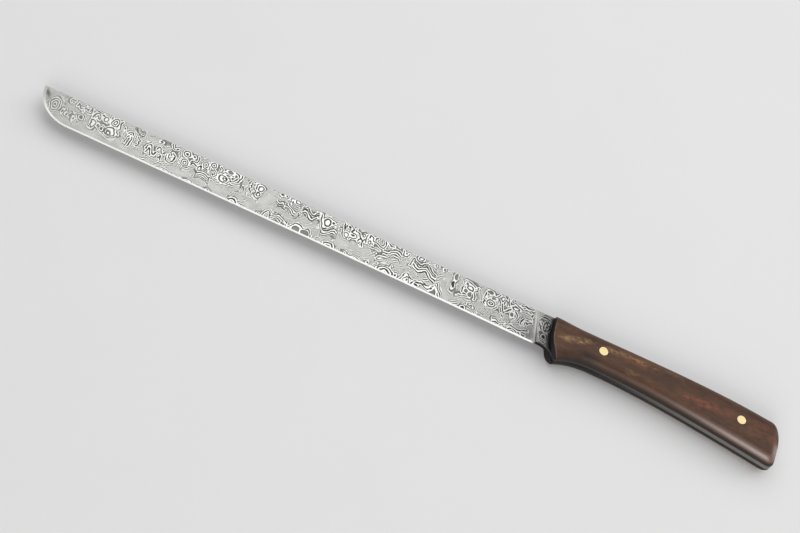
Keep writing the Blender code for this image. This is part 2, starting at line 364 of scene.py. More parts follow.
def slab(
    flat: np.ndarray,
    sides: Sequence[Side],
    holes: Sequence[Hole],
    finish: np.ndarray | int = 0,
    border: int = 0,
) -> Skin:
    """Solid between two sides over one plan, closed round its border and round its holes.

    Args:
        flat: Plan of the grid, rows by columns by 2.
        sides: The upper and the lower side.
        holes: Round holes through both.
        finish: Number of each cell's finish.
        border: Number of the finish of the border.

    Returns:
        The closed surface.
    """
    skin = Skin()
    kept = np.ones((flat.shape[0] - 1, flat.shape[1] - 1), bool)
    windows = [hole.window(flat) for hole in holes]
    for rows, columns in windows:
        kept[rows.start : rows.stop - 1, columns.start : columns.stop - 1] = False
    borders, edges = [], []
    for side in sides:
        index = skin.grid(np.concatenate([flat, side.height[..., None]], axis=-1))
        skin.cover(index, kept, finish)
        borders.append(border_of(index))
        for hole, window in zip(holes, windows):
            plan = hole.rim(border_of(flat[window]))
            rings = skin.grid(np.concatenate([plan, side.height_at(plan)[..., None]], axis=-1))
            rings = np.concatenate([border_of(index[window])[None], rings])
            skin.cover(np.concatenate([rings, rings[:, :1]], axis=1))
            edges.append(rings[-1])
    skin.bridge(*borders, finish=border)
    for upper, lower in zip(edges[: len(holes)], edges[len(holes) :]):
        skin.bridge(upper, lower)
    return skin


def linked(name: str, content: bpy.types.ID) -> bpy.types.Object:
    """Put an object at the origin of the scene.

    Args:
        name: Name of the object.
        content: Its mesh, lamp or camera.

    Returns:
        The object.
    """
    item = bpy.data.objects.new(name, content)
    bpy.context.scene.collection.objects.link(item)
    return item


# Shader nodes


@dataclass(frozen=True)
class Cloud:
    """Cloudy noise, given by the size of its clouds along each axis in millimetres.

    Its detail is how many finer layers it has, and its seat makes it unlike another of that size.
    """

    size: tuple
    detail: float = 2.0
    seat: float = 0.0


@dataclass(frozen=True)
class Spot:
    """Soft oval spot seen from above, in millimetres from the point and from the spine.

    Its length and width are halves, its lean is the angle of its length from X in degrees, and its
    share is its strength in the middle.
    """

    x: float
    y: float
    length: float
    width: float
    lean: float = 0.0
    share: float = 1.0


class Wire:
    """Output of a shader node, which takes part in arithmetic by adding Math nodes."""

    def __init__(self, bench: "Bench", socket: bpy.types.NodeSocket) -> None:
        """Keep the socket and the bench whose nodes it belongs to."""
        self.bench = bench
        self.socket = socket

    def math(self, operation: str, *inputs: "Wire | float") -> "Wire":
        """Result of a Math node on the given values."""
        return self.bench.node("ShaderNodeMath", {"operation": operation}, dict(enumerate(inputs)))

    def __add__(self, other: "Wire | float") -> "Wire":
        """Sum."""
        return self.math("ADD", self, other)

    def __radd__(self, other: float) -> "Wire":
        """Sum, from the other side."""
        return self.math("ADD", other, self)

    def __sub__(self, other: "Wire | float") -> "Wire":
        """Difference."""
        return self.math("SUBTRACT", self, other)

    def __rsub__(self, other: float) -> "Wire":
        """Difference, from the other side."""
        return self.math("SUBTRACT", other, self)

    def __mul__(self, other: "Wire | float") -> "Wire":
        """Product."""
        return self.math("MULTIPLY", self, other)

    def __rmul__(self, other: float) -> "Wire":
        """Product, from the other side."""
        return self.math("MULTIPLY", other, self)

    def wave(self) -> "Wire":
        """Triangle wave of period 1, from 0 at a whole number to 1 half way to the next."""
        return self.math("PINGPONG", self, 0.5) * 2.0

    def step(self, low: float, high: float) -> "Wire":
        """Smooth step from 0 at low to 1 at high."""
        inputs = {"Value": self, "From Min": low, "From Max": high}
        return self.bench.node("ShaderNodeMapRange", {"interpolation_type": "SMOOTHSTEP"}, inputs)


class Bench:
    """Place where one material is put together."""

    def __init__(self, name: str) -> None:
        """Start a material with its principled shader.

        Args:
            name: Name of the material.
        """
        self.material = bpy.data.materials.new(name)
        self.material.use_nodes = True
        self.nodes = self.material.node_tree.nodes
        self.links = self.material.node_tree.links
        self.shader = self.nodes["Principled BSDF"]

    def put(self, target: bpy.types.NodeSocket, value: object) -> None:
        """Join a wire to a socket, or set the socket's own value.

        Args:
            target: The socket.
            value: A wire, a number, a vector or a colour of three parts.
        """
        if isinstance(value, Wire):
            self.links.new(value.socket, target)
        elif isinstance(value, tuple) and len(value) == 3 and target.type == "RGBA":
            target.default_value = (*value, 1.0)
        else:
            target.default_value = value

    def node(self, kind: str, settings: dict, inputs: dict, output: int | str = 0) -> Wire:
        """Add a node.

        Args:
            kind: The node's type.
            settings: Its own settings, and the stops of a ramp under "stops".
            inputs: A value or wire for each socket, by name or place.
            output: Name or place of the output that is wanted.

        Returns:
            That output.
        """
        node = self.nodes.new(kind)
        for name, value in settings.items():
            if name == "stops":
                self.set_stops(node.color_ramp, value)
            else:
                setattr(node, name, value)
        for name, value in inputs.items():
            self.put(node.inputs[name], value)
        return Wire(self, node.outputs[output])

    def set_stops(self, ramp: bpy.types.ColorRamp, stops: Sequence[tuple[float, tuple]]) -> None:
        """Give a ramp its stops.

        Args:
            ramp: The ramp.
            stops: A place and a colour for each stop.
        """
        while len(ramp.elements) < len(stops):
            ramp.elements.new(0.5)
        for element, (place, colour) in zip(ramp.elements, stops):
            element.position = place
            element.color = (*colour, 1.0)

    def place(self) -> Wire:
        """Where each point is, in metres."""
        return self.node("ShaderNodeTexCoord", {}, {}, "Object")

    def way(self, axis: str) -> Wire:
        """How far along an axis each point is, in metres."""
        return self.node("ShaderNodeSeparateXYZ", {}, {"Vector": self.place()}, axis)

    def mark(self, name: str) -> Wire:
        """Number that a mesh carries at each point."""
        return self.node("ShaderNodeAttribute", {"attribute_name": name}, {}, "Fac")

    def noise(self, cloud: Cloud) -> Wire:
        """Cloudy noise.

        Args:
            cloud: What it is like.

        Returns:
            Its value, from 0 to 1.
        """
        scale = tuple(1.0 / (part * MM) for part in cloud.size)
        inputs = {"Vector": self.place(), "Scale": scale, "Location": (cloud.seat,) * 3}
        vector = self.node("ShaderNodeMapping", {}, inputs)
        inputs = {"Vector": vector, "Scale": 1.0, "Detail": cloud.detail}
        return self.node("ShaderNodeTexNoise", {}, inputs)

    def ramp(self, value: Wire, stops: Sequence[tuple[float, tuple]]) -> Wire:
        """Colour that a value has on a ramp."""
        return self.node("ShaderNodeValToRGB", {"stops": stops}, {"Fac": value})

    def mix(self, share: "Wire | float", first: "Wire | tuple", second: "Wire | tuple") -> Wire:
        """Colour that lies the given share of the way from the first to the second."""
        return self.node("ShaderNodeMix", {"data_type": "RGBA"}, {0: share, 6: first, 7: second}, 2)

    def bump(self, height: Wire, depth: float, strength: float) -> Wire:
        """Normal of a surface raised by a height from 0 to 1 over the given depth in millimetres."""
        inputs = {"Height": height, "Distance": depth * MM, "Strength": strength}
        return self.node("ShaderNodeBump", {}, inputs, "Normal")

    def spot(self, spot: Spot) -> Wire:
        """Strength of a spot, which falls to 0 at its edge.

        Args:
            spot: The spot.

        Returns:
            Its strength.
        """
        middle = carried(np.array([spot.x * MM, spot.y * MM, 0.0]))
        inputs = {
            "Vector": self.place(),
            "Location": (float(middle[0]), float(middle[1]), 0.0),
            "Rotation": (0.0, 0.0, math.radians(spot.lean)),
            "Scale": (spot.length * MM, spot.width * MM, THROUGH),
        }
        vector = self.node("ShaderNodeMapping", {"vector_type": "TEXTURE"}, inputs)
        distance = self.node("ShaderNodeVectorMath", {"operation": "LENGTH"}, {0: vector}, "Value")
        strength = distance.step(1.0, 0.0)
        return strength if spot.share == 1.0 else strength * spot.share

    def tint(self, colour: Wire, *layers: tuple[Spot, tuple], texture: "Wire | None" = None) -> Wire:
        """Change a colour in spots.

        Args:
            colour: The colour before.
            layers: A spot and its tint for each layer, the first one lowest.
            texture: What breaks the spots up, from 0 to 1.

        Returns:
            The colour after.
        """
        for spot, tint in layers:
            strength = self.spot(spot)
            colour = self.mix(strength if texture is None else strength * texture, colour, tint)
        return colour

    def finish(self, **inputs: "Wire | float | tuple") -> bpy.types.Material:
        """Close the material.

        Args:
            **inputs: Values of the shader's sockets, whose names are written with _ for a space.

        Returns:
            The material.
        """
        for name, value in inputs.items():
            self.put(self.shader.inputs[name.replace("_", " ")], value)
        return self.material


# Finishes. A roughness is its least value and what each pattern adds to it, and a relief is its depth
# in millimetres and its strength. A pattern's steps are where it begins and where it is in full.


def shaded(colour: tuple, share: float) -> tuple:
    """Colour with each of its parts multiplied by a share."""
    return tuple(share * part for part in colour)


def weighed(first: Wire, second: Wire, share: float) -> Wire:
    """Sum of two patterns, where the second counts for the share and the first for the rest."""
    return first * (1.0 - share) + second * share


def raised_by(shares: Sequence[float], *patterns: Wire) -> Wire:
    """Least value, and over it each pattern times its own share.

    Args:
        shares: The least value and the share of each pattern.
        *patterns: The patterns.

    Returns:
        The sum.
    """
    value = shares[0]
    for pattern, share in zip(patterns, shares[1:]):
        value = value + pattern * share
    return value


@dataclass(frozen=True)
class EtchedSteel:
    """Etched face of layered steel: dark lines with bright ones beside them, on plain grey."""

    plain: tuple = (0.495, 0.495, 0.476)
    mottled: tuple = (0.86, 1.1)
    bright: tuple = (0.87, 0.87, 0.845)
    dark: tuple = (0.065, 0.064, 0.060)
    warm: tuple = (0.50, 0.43, 0.32)
    shade: tuple = (0.20, 0.165, 0.14)
    olive: tuple = (0.10, 0.092, 0.065)
    dim: tuple = (0.010, 0.009, 0.0)
    # Painted shadow that the scales' front casts on the steel beside it.
    painted_scale_shadow: tuple = (0.022, 0.019, 0.017)
    scale_shadow_share: float = 0.9
    # A warm spot, painted shade beside the plunge, a painted highlight along the plunge and a painted
    # dark reflection at the point.
    stains_and_painted_light: tuple = (
        (Spot(199.6, -2.9, 5.4, 3.0, 0.0, 0.6), warm),
        (Spot(288.4, -15.6, 5.0, 8.0, 13.0), shade),
        (Spot(291.4, -9.0, 1.5, 13.0, 13.0, 0.8), bright),
        (Spot(3.0, -3.6, 1.9, 5.4, 32.0, 0.9), olive),
    )
    dimmed: tuple = (
        (Spot(300.0, -11.0, 9.5, 40.0, 10.0, 0.62), BLACK),  # the ricasso
        (Spot(290.0, -16.0, 16.0, 20.0, 0.0, 0.25), BLACK),  # the plunge
        (Spot(300.0, -10.0, 78.0, 60.0, 0.0, 0.26), BLACK),  # the heel
        (Spot(-4.0, -9.0, 66.0, 60.0, 0.0, 0.17), dim),  # the point
    )
    line_edges: tuple = (0.68, 0.36)
    tremble_share: float = 0.20
    tremble: Cloud = Cloud((0.9, 0.9, 2.0))
    brushing: Cloud = Cloud((14.0, 0.10, 4.0), 2.0, 3.0)
    mottle: Cloud = Cloud((7.0, 4.0, 5.0), 3.0, 7.0)
    mottle_steps: tuple = (0.3, 0.7)
    roughness: tuple = (0.33, 0.14, 0.08)
    brushed_share: float = 0.2
    relief: tuple = (0.010, 0.6)

    def material(self) -> bpy.types.Material:
        """Layer numbers drawn as lines over plain grey with brushing, spots, and painted light and shade.

        The plain grey has a warm spot, painted shade beside the plunge, a painted highlight along it and
        a painted dark reflection at the point. It is darker towards the ricasso, the heel and the point,
        and it carries a painted shadow of the scales beside their front.

        Returns:
            The material.
        """
        bench = Bench("etched_layered_steel")
        tremble = bench.noise(self.tremble) - 0.5
        lines = (bench.mark("layer") + tremble * self.tremble_share).wave().step(*self.line_edges)
        clear = bench.mark("figure")
        brushing = bench.noise(self.brushing)
        mottle = bench.noise(self.mottle).step(*self.mottle_steps)
        plain = bench.mix(mottle, *(shaded(self.plain, share) for share in self.mottled))
        # The warm spot, the painted shade, the painted highlight and the painted dark reflection on the
        # plain grey.
        between = bench.tint(plain, *self.stains_and_painted_light)
        colour = bench.mix(clear, between, bench.mix(lines, self.bright, self.dark))
        colour = bench.tint(colour, *self.dimmed)
        # Painted shadow of the scales' front, close beside it.
        colour = bench.mix(bench.mark("painted_scale_shadow") * self.scale_shadow_share, colour, self.painted_scale_shadow)
        etched = lines * clear
        rough = raised_by(self.roughness, etched, brushing)
        normal = bench.bump(weighed(1.0 - etched, brushing, self.brushed_share), *self.relief)
        return bench.finish(Base_Color=colour, Metallic=0.95, Roughness=rough, Normal=normal)


@dataclass(frozen=True)
class GroundSteel:
    """Bevel ground bright on a fine stone after the etch."""

    colour: tuple = (0.95, 0.95, 0.93)
    duller: tuple = (0.80, 0.80, 0.775)
    shade: tuple = (0.12, 0.10, 0.085)
    shade_spot: Spot = Spot(295.0, -19.0, 4.4, 7.0)
    scratches: Cloud = Cloud((0.12, 3.0, 3.0), 3.0)
    scratch_steps: tuple = (0.3, 0.75)
    roughness: tuple = (0.24, 0.12)
    relief: tuple = (0.004, 0.6)

    def material(self) -> bpy.types.Material:
        """Fine scratches across the bevel, and painted shade near the heel.

        Returns:
            The material.
        """
        bench = Bench("ground_bevel_steel")
        scratches = bench.noise(self.scratches)
        colour = bench.mix(scratches.step(*self.scratch_steps), self.colour, self.duller)
        colour = bench.tint(colour, (self.shade_spot, self.shade))
        rough = raised_by(self.roughness, scratches)
        normal = bench.bump(scratches, *self.relief)
        return bench.finish(Base_Color=colour, Metallic=1.0, Roughness=rough, Normal=normal)


@dataclass(frozen=True)
class LayeredEdge:
    """Narrow edge of the steel, where the layers show as fine lines along it."""

    bright: tuple = (0.19, 0.18, 0.168)
    dull: tuple = (0.145, 0.14, 0.13)
    dark: tuple = (0.05, 0.046, 0.042)
    shade: tuple = (0.012, 0.011, 0.010)
    # Painted light behind the handle's front, and a painted highlight along the upper side in its shade.
    painted_light: tuple = (0.52, 0.50, 0.47)
    pitch: float = 0.21 * MM
    wander_pitches: float = 7.0
    line_edges: tuple = (0.55, 0.25)
    line_share: float = 0.7
    line_sunk: float = 0.4
    wander: Cloud = Cloud((9.0, 9.0, 2.0), 3.0)
    wear: Cloud = Cloud((5.0, 3.0, 1.0), 4.0, 5.0)
    wear_steps: tuple = (0.3, 0.7)
    scratches: Cloud = Cloud((4.0, 0.15, 0.08))
    roughness: tuple = (0.34, 0.14)
    relief: tuple = (0.006, 0.6)
    shade_share: float = 0.97
    shaded_behind_front: tuple = (110.0 * MM, 15.0 * MM)
    painted_light_share: float = 0.28
    upper_light_heights: tuple = (0.6 * MM, 1.2 * MM)
    upper_light_share: float = 0.19

    def material(self) -> bpy.types.Material:
        """Lines along the edge that wander through the thickness, with painted shade under the handle's
        front, painted light behind it and a painted highlight along its upper side in that shade.

        Returns:
            The material.
        """
        bench = Bench("layered_steel_edge")
        through = bench.way("Z")
        wander = bench.noise(self.wander) * self.wander_pitches
        lines = (through * (1.0 / self.pitch) + wander).wave().step(*self.line_edges)
        wear = bench.noise(self.wear).step(*self.wear_steps)
        colour = bench.mix(lines * self.line_share, bench.mix(wear, self.bright, self.dull), self.dark)
        behind = bench.way("X") - float(HOME[0] + HandleOutline.front)
        shade = behind.step(*self.shaded_behind_front) * self.shade_share
        colour = bench.mix(shade, colour, self.shade)
        # Painted light where the edge is not in painted shade.
        colour = bench.mix((1.0 - shade) * self.painted_light_share, colour, self.painted_light)
        height = through - float(HOME[2])
        # Painted highlight along the upper side, where the painted shade lies.
        colour = bench.mix(height.step(*self.upper_light_heights) * shade * self.upper_light_share, colour, self.painted_light)
        scratches = bench.noise(self.scratches)
        rough = raised_by(self.roughness, scratches)
        normal = bench.bump(scratches - lines * self.line_sunk, *self.relief)
        return bench.finish(Base_Color=colour, Metallic=0.95, Roughness=rough, Normal=normal)


@dataclass(frozen=True)
class DarkWood:
    """Dark hardwood, oiled, with reddish streaks, an ochre figure by the spine and fine open pores."""

    dark: tuple = (0.014, 0.009, 0.006)
    deep: tuple = (0.031, 0.0125, 0.005)
    brown: tuple = (0.072, 0.028, 0.011)
    light: tuple = (0.127, 0.052, 0.023)
    ochre: tuple = (0.325, 0.205, 0.086)
    red: tuple = (0.27, 0.068, 0.034)
    # Near black: end grain, darkened further as painted shade of the front face.
    end: tuple = (0.008, 0.005, 0.004)
    # Painted highlight on the front's upper edge.
    painted_light: tuple = (0.22, 0.15, 0.11)
    # Painted sheen of the light on the lower shoulder.
    painted_sheen: tuple = (0.30, 0.14, 0.075)
    tones: tuple = ((0.30, deep), (0.50, brown), (0.70, light))
    ochre_spots: tuple = (
        Spot(314.0, -11.4, 15.0, 2.9, 20.0, 1.0),
        Spot(308.0, -12.6, 7.0, 2.6, 15.0, 0.6),
        Spot(307.0, -5.5, 8.0, 4.6, 0.0, 0.10),
        Spot(336.0, -7.8, 12.0, 3.0, 3.0, 0.85),
        Spot(352.0, -6.8, 16.0, 2.8, 0.0, 0.75),
        Spot(347.0, -15.8, 8.0, 2.8, 6.0, 0.3),
        Spot(372.0, -5.0, 16.0, 2.4, -3.0, 0.25),
    )
    red_spots: tuple = (
        Spot(349.0, -8.0, 22.0, 4.0, -3.0, 0.35),
        Spot(384.0, -14.8, 12.0, 2.4, 8.0, 0.75),
        Spot(392.0, -15.6, 9.0, 2.2, 8.0, 0.75),
        Spot(400.0, -13.5, 16.0, 5.0, -6.0, 0.35),
        Spot(428.0, -16.0, 20.0, 9.0, -5.0, 0.20),
    )
    dark_spots: tuple = (
        Spot(321.0, -18.5, 12.0, 5.5, 12.0, 1.0),
        Spot(310.0, -21.5, 9.0, 4.0, 20.0, 0.7),
        Spot(304.0, -5.0, 9.0, 6.0, 0.0, 0.55),
        Spot(366.0, -12.0, 13.0, 6.0, -8.0, 0.40),
    )
    pore_share: float = 0.6
    # Shares of the painted highlight on the front edge and of the painted sheen on the shoulder.
    painted_light_share: float = 0.7
    painted_sheen_share: float = 0.4
    # Painted shade under the lower shoulder.
    underside_shade_share: float = 0.92
    tone: tuple = (0.0, 0.50, 0.25, 0.25)
    dark_texture: tuple = (0.3, 0.7)
    streak_texture: tuple = (0.18, 0.82)
    streak_figure: float = 0.55
    streak_steps: tuple = (0.42, 0.56)
    fleck_texture: tuple = (0.45, 0.80)
    bands: Cloud = Cloud((24.0, 4.4, 5.0), 4.0)
    grain: Cloud = Cloud((5.5, 1.0, 1.6), 4.0, 2.0)
    pores: Cloud = Cloud((2.6, 0.18, 0.3), 2.0, 4.0)
    pore_steps: tuple = (0.58, 0.70)
    figure: Cloud = Cloud((3.6, 2.2, 3.0), 5.0, 6.0)
    figure_steps: tuple = (0.36, 0.60)
    edge_light_steps: tuple = (0.3, 0.6)
    flecks: Cloud = Cloud((1.5, 0.8, 1.0), 3.0, 8.0)
    fleck_steps: tuple = (0.38, 0.62)
    roughness: tuple = (0.38, 0.10, 0.15, 0.25)
    pore_relief: float = 0.65
    relief: tuple = (0.025, 0.5)

    def material(self) -> bpy.types.Material:
        """Grain that runs along the handle, coloured in soft spots and broken by pores.

        Returns:
            The material.
        """
        bench = Bench("dark_oiled_hardwood")
        bands, grain, figure = (bench.noise(cloud) for cloud in (self.bands, self.grain, self.figure))
        pores = bench.noise(self.pores).step(*self.pore_steps)
        flecks = bench.noise(self.flecks).step(*self.fleck_steps)
        colour = bench.ramp(raised_by(self.tone, bands, grain, figure), self.tones)
        broken = figure.step(*self.figure_steps)
        streak = weighed(grain, figure, self.streak_figure).step(*self.streak_steps)
        streak = raised_by(self.streak_texture, streak) * raised_by(self.fleck_texture, flecks)
        for spots, tint, texture in (
            (self.dark_spots, self.dark, raised_by(self.dark_texture, broken)),
            (self.red_spots, self.red, broken),
            (self.ochre_spots, self.ochre, streak),
        ):
            colour = bench.tint(colour, *((spot, tint) for spot in spots), texture=texture)
        end, shoulder_sheen = bench.mark("end_grain_and_shade"), bench.mark("shoulder_sheen")
        # Pores, the painted highlight on the front edge, the painted sheen, painted shade under the
        # shoulder, and the end grain darkened further as painted shade.
        for share, tint in (
            (pores * self.pore_share, self.deep),
            (bench.mark("painted_edge_light") * figure.step(*self.edge_light_steps) * self.painted_light_share, self.painted_light),
            (shoulder_sheen * self.painted_sheen_share, self.painted_sheen),
            (bench.mark("painted_underside_shade") * self.underside_shade_share, self.dark),
            (end, self.end),
        ):
            colour = bench.mix(share, colour, tint)
        rough = raised_by(self.roughness, grain, pores, end)
        normal = bench.bump(weighed(grain, 1.0 - pores, self.pore_relief), *self.relief)
        # Gloss coat over the same zone as the painted sheen.
        coat = {"Coat_Weight": shoulder_sheen, "Coat_Roughness": 0.38, "Coat_IOR": 2.1}
        gloss = {"Roughness": rough, "Specular_IOR_Level": 0.34, **coat}
        return bench.finish(Base_Color=colour, Normal=normal, **gloss)


@dataclass(frozen=True)
class PolishedBrass:
    """Brass sanded flush with the wood and buffed."""

    colour: tuple = (0.76, 0.615, 0.335)
    dull: tuple = (0.60, 0.475, 0.225)
    dull_share: float = 0.6
    scratches: Cloud = Cloud((3.0, 0.06, 1.0))
    tarnish: Cloud = Cloud((1.6, 1.6, 1.6), 3.0, 1.0)
    tarnish_steps: tuple = (0.5, 0.8)
    roughness: tuple = (0.2, 0.14)
    relief: tuple = (0.004, 0.5)

    def material(self) -> bpy.types.Material:
        """Fine scratches along the handle and a little tarnish.

        Returns:
            The material.
        """
        bench = Bench("polished_brass")
        scratches = bench.noise(self.scratches)
        tarnish = bench.noise(self.tarnish).step(*self.tarnish_steps)
        colour = bench.mix(tarnish * self.dull_share, self.colour, self.dull)
        rough = raised_by(self.roughness, scratches)
        normal = bench.bump(scratches, *self.relief)
        return bench.finish(Base_Color=colour, Metallic=1.0, Roughness=rough, Normal=normal)


@dataclass(frozen=True)
class DarkGlue:
    """Film of epoxy, dark between the steel and the wood."""

    colour: tuple = (0.016, 0.012, 0.010)
    paler: tuple = (0.035, 0.026, 0.020)
    mottle: Cloud = Cloud((2.0, 2.0, 1.0), 3.0)
    roughness: tuple = (0.35, 0.25)
    relief: tuple = (0.01, 0.5)

    def material(self) -> bpy.types.Material:
        """Slight unevenness of colour and gloss.

        Returns:
            The material.
        """
        bench = Bench("dark_epoxy")
        mottle = bench.noise(self.mottle)
        colour = bench.mix(mottle, self.colour, self.paler)
        rough = raised_by(self.roughness, mottle)
        normal = bench.bump(mottle, *self.relief)
        return bench.finish(Base_Color=colour, Roughness=rough, Normal=normal)


@dataclass(frozen=True)
class PaleBoard:
    """Matt pale board that the knife lies on."""

    colour: tuple = (0.80, 0.80, 0.80)
    mottled: float = 0.975
    mottle: Cloud = Cloud((60.0, 60.0, 60.0), 3.0)

    def material(self) -> bpy.types.Material:
        """Very faint mottling.

        Returns:
            The material.
        """
        bench = Bench("pale_board")
        colour = bench.mix(bench.noise(self.mottle), self.colour, shaded(self.colour, self.mottled))
        return bench.finish(Base_Color=colour, Roughness=0.85, Specular_IOR_Level=0.2)


class Finish(Enum):
    """Finishes of the knife."""

    ETCHED = EtchedSteel()
    BEVEL = GroundSteel()
    EDGE = LayeredEdge()
    WOOD = DarkWood()
    BRASS = PolishedBrass()
    GLUE = DarkGlue()


class Face(IntEnum):
    """Numbers of the blade's three finishes."""

    ETCHED = 0
    BEVEL = 1
    EDGE = 2


def dressed(name: str, mesh: bpy.types.Mesh, finishes: Sequence[bpy.types.Material]) -> bpy.types.Object:
    """Object at the origin that shows a mesh in its finishes and rides on the knife.

    Args:
        name: Name of the piece.
        mesh: Its mesh, in place.
        finishes: Its materials, in the order of their numbers.

    Returns:
        The piece.
    """
    for finish in finishes:
        mesh.materials.append(finish)
    piece = linked(name, mesh)
    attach(piece, "root")
    log.info("%s: %d points, %d faces", name, len(mesh.vertices), len(mesh.polygons))
    return piece


# The handle


@dataclass(frozen=True)
class HandleOutline:
    """Side view of the handle, which the tang, the scales and the glue between them share."""

    front: float = 300.0 * MM
    length: float = 138.7 * MM
    spur_from_front: float = 6.9 * MM
    spur_depth: float = 25.0 * MM
    hollow_climb: float = math.radians(28.0)
    hollow_from_front: float = 28.5 * MM
    hollow_depth: float = 20.1 * MM
    setback: float = 0.9 * MM
    setback_from_front: float = 18.0 * MM
    butt_spine_depth: float = 3.9 * MM
    butt_spine_slope: float = math.radians(6.8)
    butt_belly_depth: float = 30.3 * MM
    butt_belly_slope: float = math.radians(7.5)
    upper_corner: tuple = (8.0 * MM, 15.0 * MM)
    lower_corner: tuple = (3.5 * MM, 2.5 * MM)
    bow_length: float = 25.0 * MM
    sweep_power: int = 4
    easing: float = 0.8 * MM
    easing_steps: int = 8
    level_end: float = 18.0 * MM

    def front_at(self, y: np.ndarray) -> np.ndarray:
        """Front of the scales at places across, which bows back with the fourth power of the depth."""
        return self.front + self.spur_from_front * (-y / self.spur_depth) ** self.sweep_power

    @property
    def butt(self) -> float:
        """Far end of the handle."""
        return self.front + self.length

    def spine_curve(self) -> np.ndarray:
        """Upper outline, dipping a little behind the front and falling to the butt.

        Returns:
            Places close together along it.
        """
        first = (self.front, 0.0)
        dip = (self.front + self.setback_from_front, -self.setback)
        back = (self.butt - self.upper_corner[0], -self.butt_spine_depth)
        rear = swept(dip, 0.0, back, -math.tan(self.butt_spine_slope))
        return np.concatenate([swept(first, 0.0, dip, 0.0), rear[1:]])

    def belly_curve(self) -> np.ndarray:
        """Lower outline: out of the spur, over the finger hollow and down to the butt.

        Returns:
            Places close together along it.
        """
        first = (self.front + self.spur_from_front, -self.spur_depth)
        hollow = (self.front + self.hollow_from_front, -self.hollow_depth)
        back = (self.butt - self.lower_corner[0], -self.butt_belly_depth)
        rear = swept(hollow, 0.0, back, -math.tan(self.butt_belly_slope))
        return np.concatenate([swept(first, math.tan(self.hollow_climb), hollow, 0.0), rear[1:]])

    def spine_at(self, x: np.ndarray) -> np.ndarray:
        """Height of the upper outline at places along it."""
        return np.interp(x, *self.spine_curve().T)

    def belly_at(self, x: np.ndarray) -> np.ndarray:
        """Height of the lower outline at places along it."""
        return np.interp(x, *self.belly_curve().T)

    def stations(self, pitch: float, corner_steps: int) -> tuple[np.ndarray, np.ndarray]:
        """Pairs of points on the two outlines, from the front to the butt.

        Close to the front the pairs lean with it, and then they stand upright. Each outline turns into
        the butt by a quarter of an ellipse.

        Args:
            pitch: Distance between pairs.
            corner_steps: Steps round the corners of the butt.

        Returns:
            The upper and the lower points, one row each.
        """
        near = self.easing * (1 - np.cos(quarter(self.easing_steps)))
        bowed = steps_between(self.easing, self.bow_length, int(self.bow_length / pitch))
        front = np.concatenate([near, bowed])
        level = self.length - self.level_end
        middle = steps_between(self.bow_length, level, int((level - self.bow_length) / pitch))
        leaning = self.spur_from_front + front * (1 - self.spur_from_front / self.bow_length)
        turn = quarter(corner_steps)[1:]
        lines = []
        for first, height_at, (length, depth), back_y, inward in (
            (front, self.spine_at, self.upper_corner, -self.butt_spine_depth, -1.0),
            (leaning, self.belly_at, self.lower_corner, -self.butt_belly_depth, 1.0),
        ):
            rear = steps_between(level, self.length - length, int(self.level_end / pitch))
            x = self.front + np.concatenate([first, middle, rear])
            corner_x = self.butt - length * (1 - np.sin(turn))
            corner_y = back_y + inward * depth * (1 - np.cos(turn))
            lines.append(np.stack([np.append(x, corner_x), np.append(height_at(x), corner_y)], axis=1))
        return lines[0], lines[1]

    def plan(self, upper: np.ndarray, lower: np.ndarray, share: np.ndarray) -> np.ndarray:
        """Places on the sections between pairs of points of the outlines, bowed near the front.

        A section bows to the point by its share less the share's fourth power, fading behind the front.

        Args:
            upper: The upper points, one row each.
            lower: The lower points.
            share: How far down its section each place is, from 0 to 1.

        Returns:
            Sections by places by 2.
        """
        flat = blend(upper[:, None], lower[:, None], share[..., None])
        fade = 1 - np.clip((upper[:, :1] - self.front) / self.bow_length, 0.0, 1.0)
        flat[..., 0] -= self.spur_from_front * (share - share**self.sweep_power) * fade
        return flat


@dataclass(frozen=True)
class Pin:
    """Brass rod through the handle, with ends that are hammered a little wider and sanded flush."""

    name: str
    node: str
    radius: float = 2.5 * MM
    flare: float = 0.08 * MM
    flare_ends: tuple = (0.5 * MM, 1.2 * MM)
    dome: float = 0.09 * MM
    dome_share: float = 0.97
    dome_steps: int = 13
    sunk: float = 0.01 * MM
    arris: float = 0.06 * MM
    sides: int = 96
    crease: float = 40.0

    def middle(self) -> tuple[float, float, float]:
        """Place of the pin's own node.

        Returns:
            Its middle along and across the knife, in the knife's own place, and its half length.
        """
        low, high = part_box(self.node)
        return (low.x + high.x) / 2 - HOME[0], (low.y + high.y) / 2 - HOME[1], (high.z - low.z) / 2

    def hole(self, gap: float) -> Hole:
        """Hole that the pin goes through, wider by the gap."""
        return Hole(*self.middle()[:2], self.radius + self.flare + gap)

    def build(self) -> bpy.types.Object:
        """Profile of radius against height, carried round the pin's axis.

        Returns:
            The pin.
        """
        x, y, half = self.middle()
        wide = self.radius + self.flare
        share = np.linspace(0.0, self.dome_share, self.dome_steps + 1)
        head = np.stack([share * wide, self.dome * (1 - share**2) - self.sunk], axis=1)
        start, end = self.flare_ends
        side = [(wide, -self.arris), (wide, -start), (self.radius, -end)]
        upper = np.concatenate([head, side]) + (0.0, half)
        radius, height = np.concatenate([upper, upper[::-1] * (1, -1)]).T
        turn = np.linspace(0.0, math.tau, self.sides, endpoint=False)[:, None]
        skin = Skin()
        rounds = (x + radius * np.cos(turn), y + radius * np.sin(turn), height + 0.0 * turn)
        index = skin.grid(np.stack(rounds, axis=-1))
        skin.cover(np.concatenate([index, index[:1]]))
        piece = dressed(self.name, skin.mesh(self.name, self.crease), [Finish.BRASS.value.material()])
        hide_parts(self.node)
        return piece


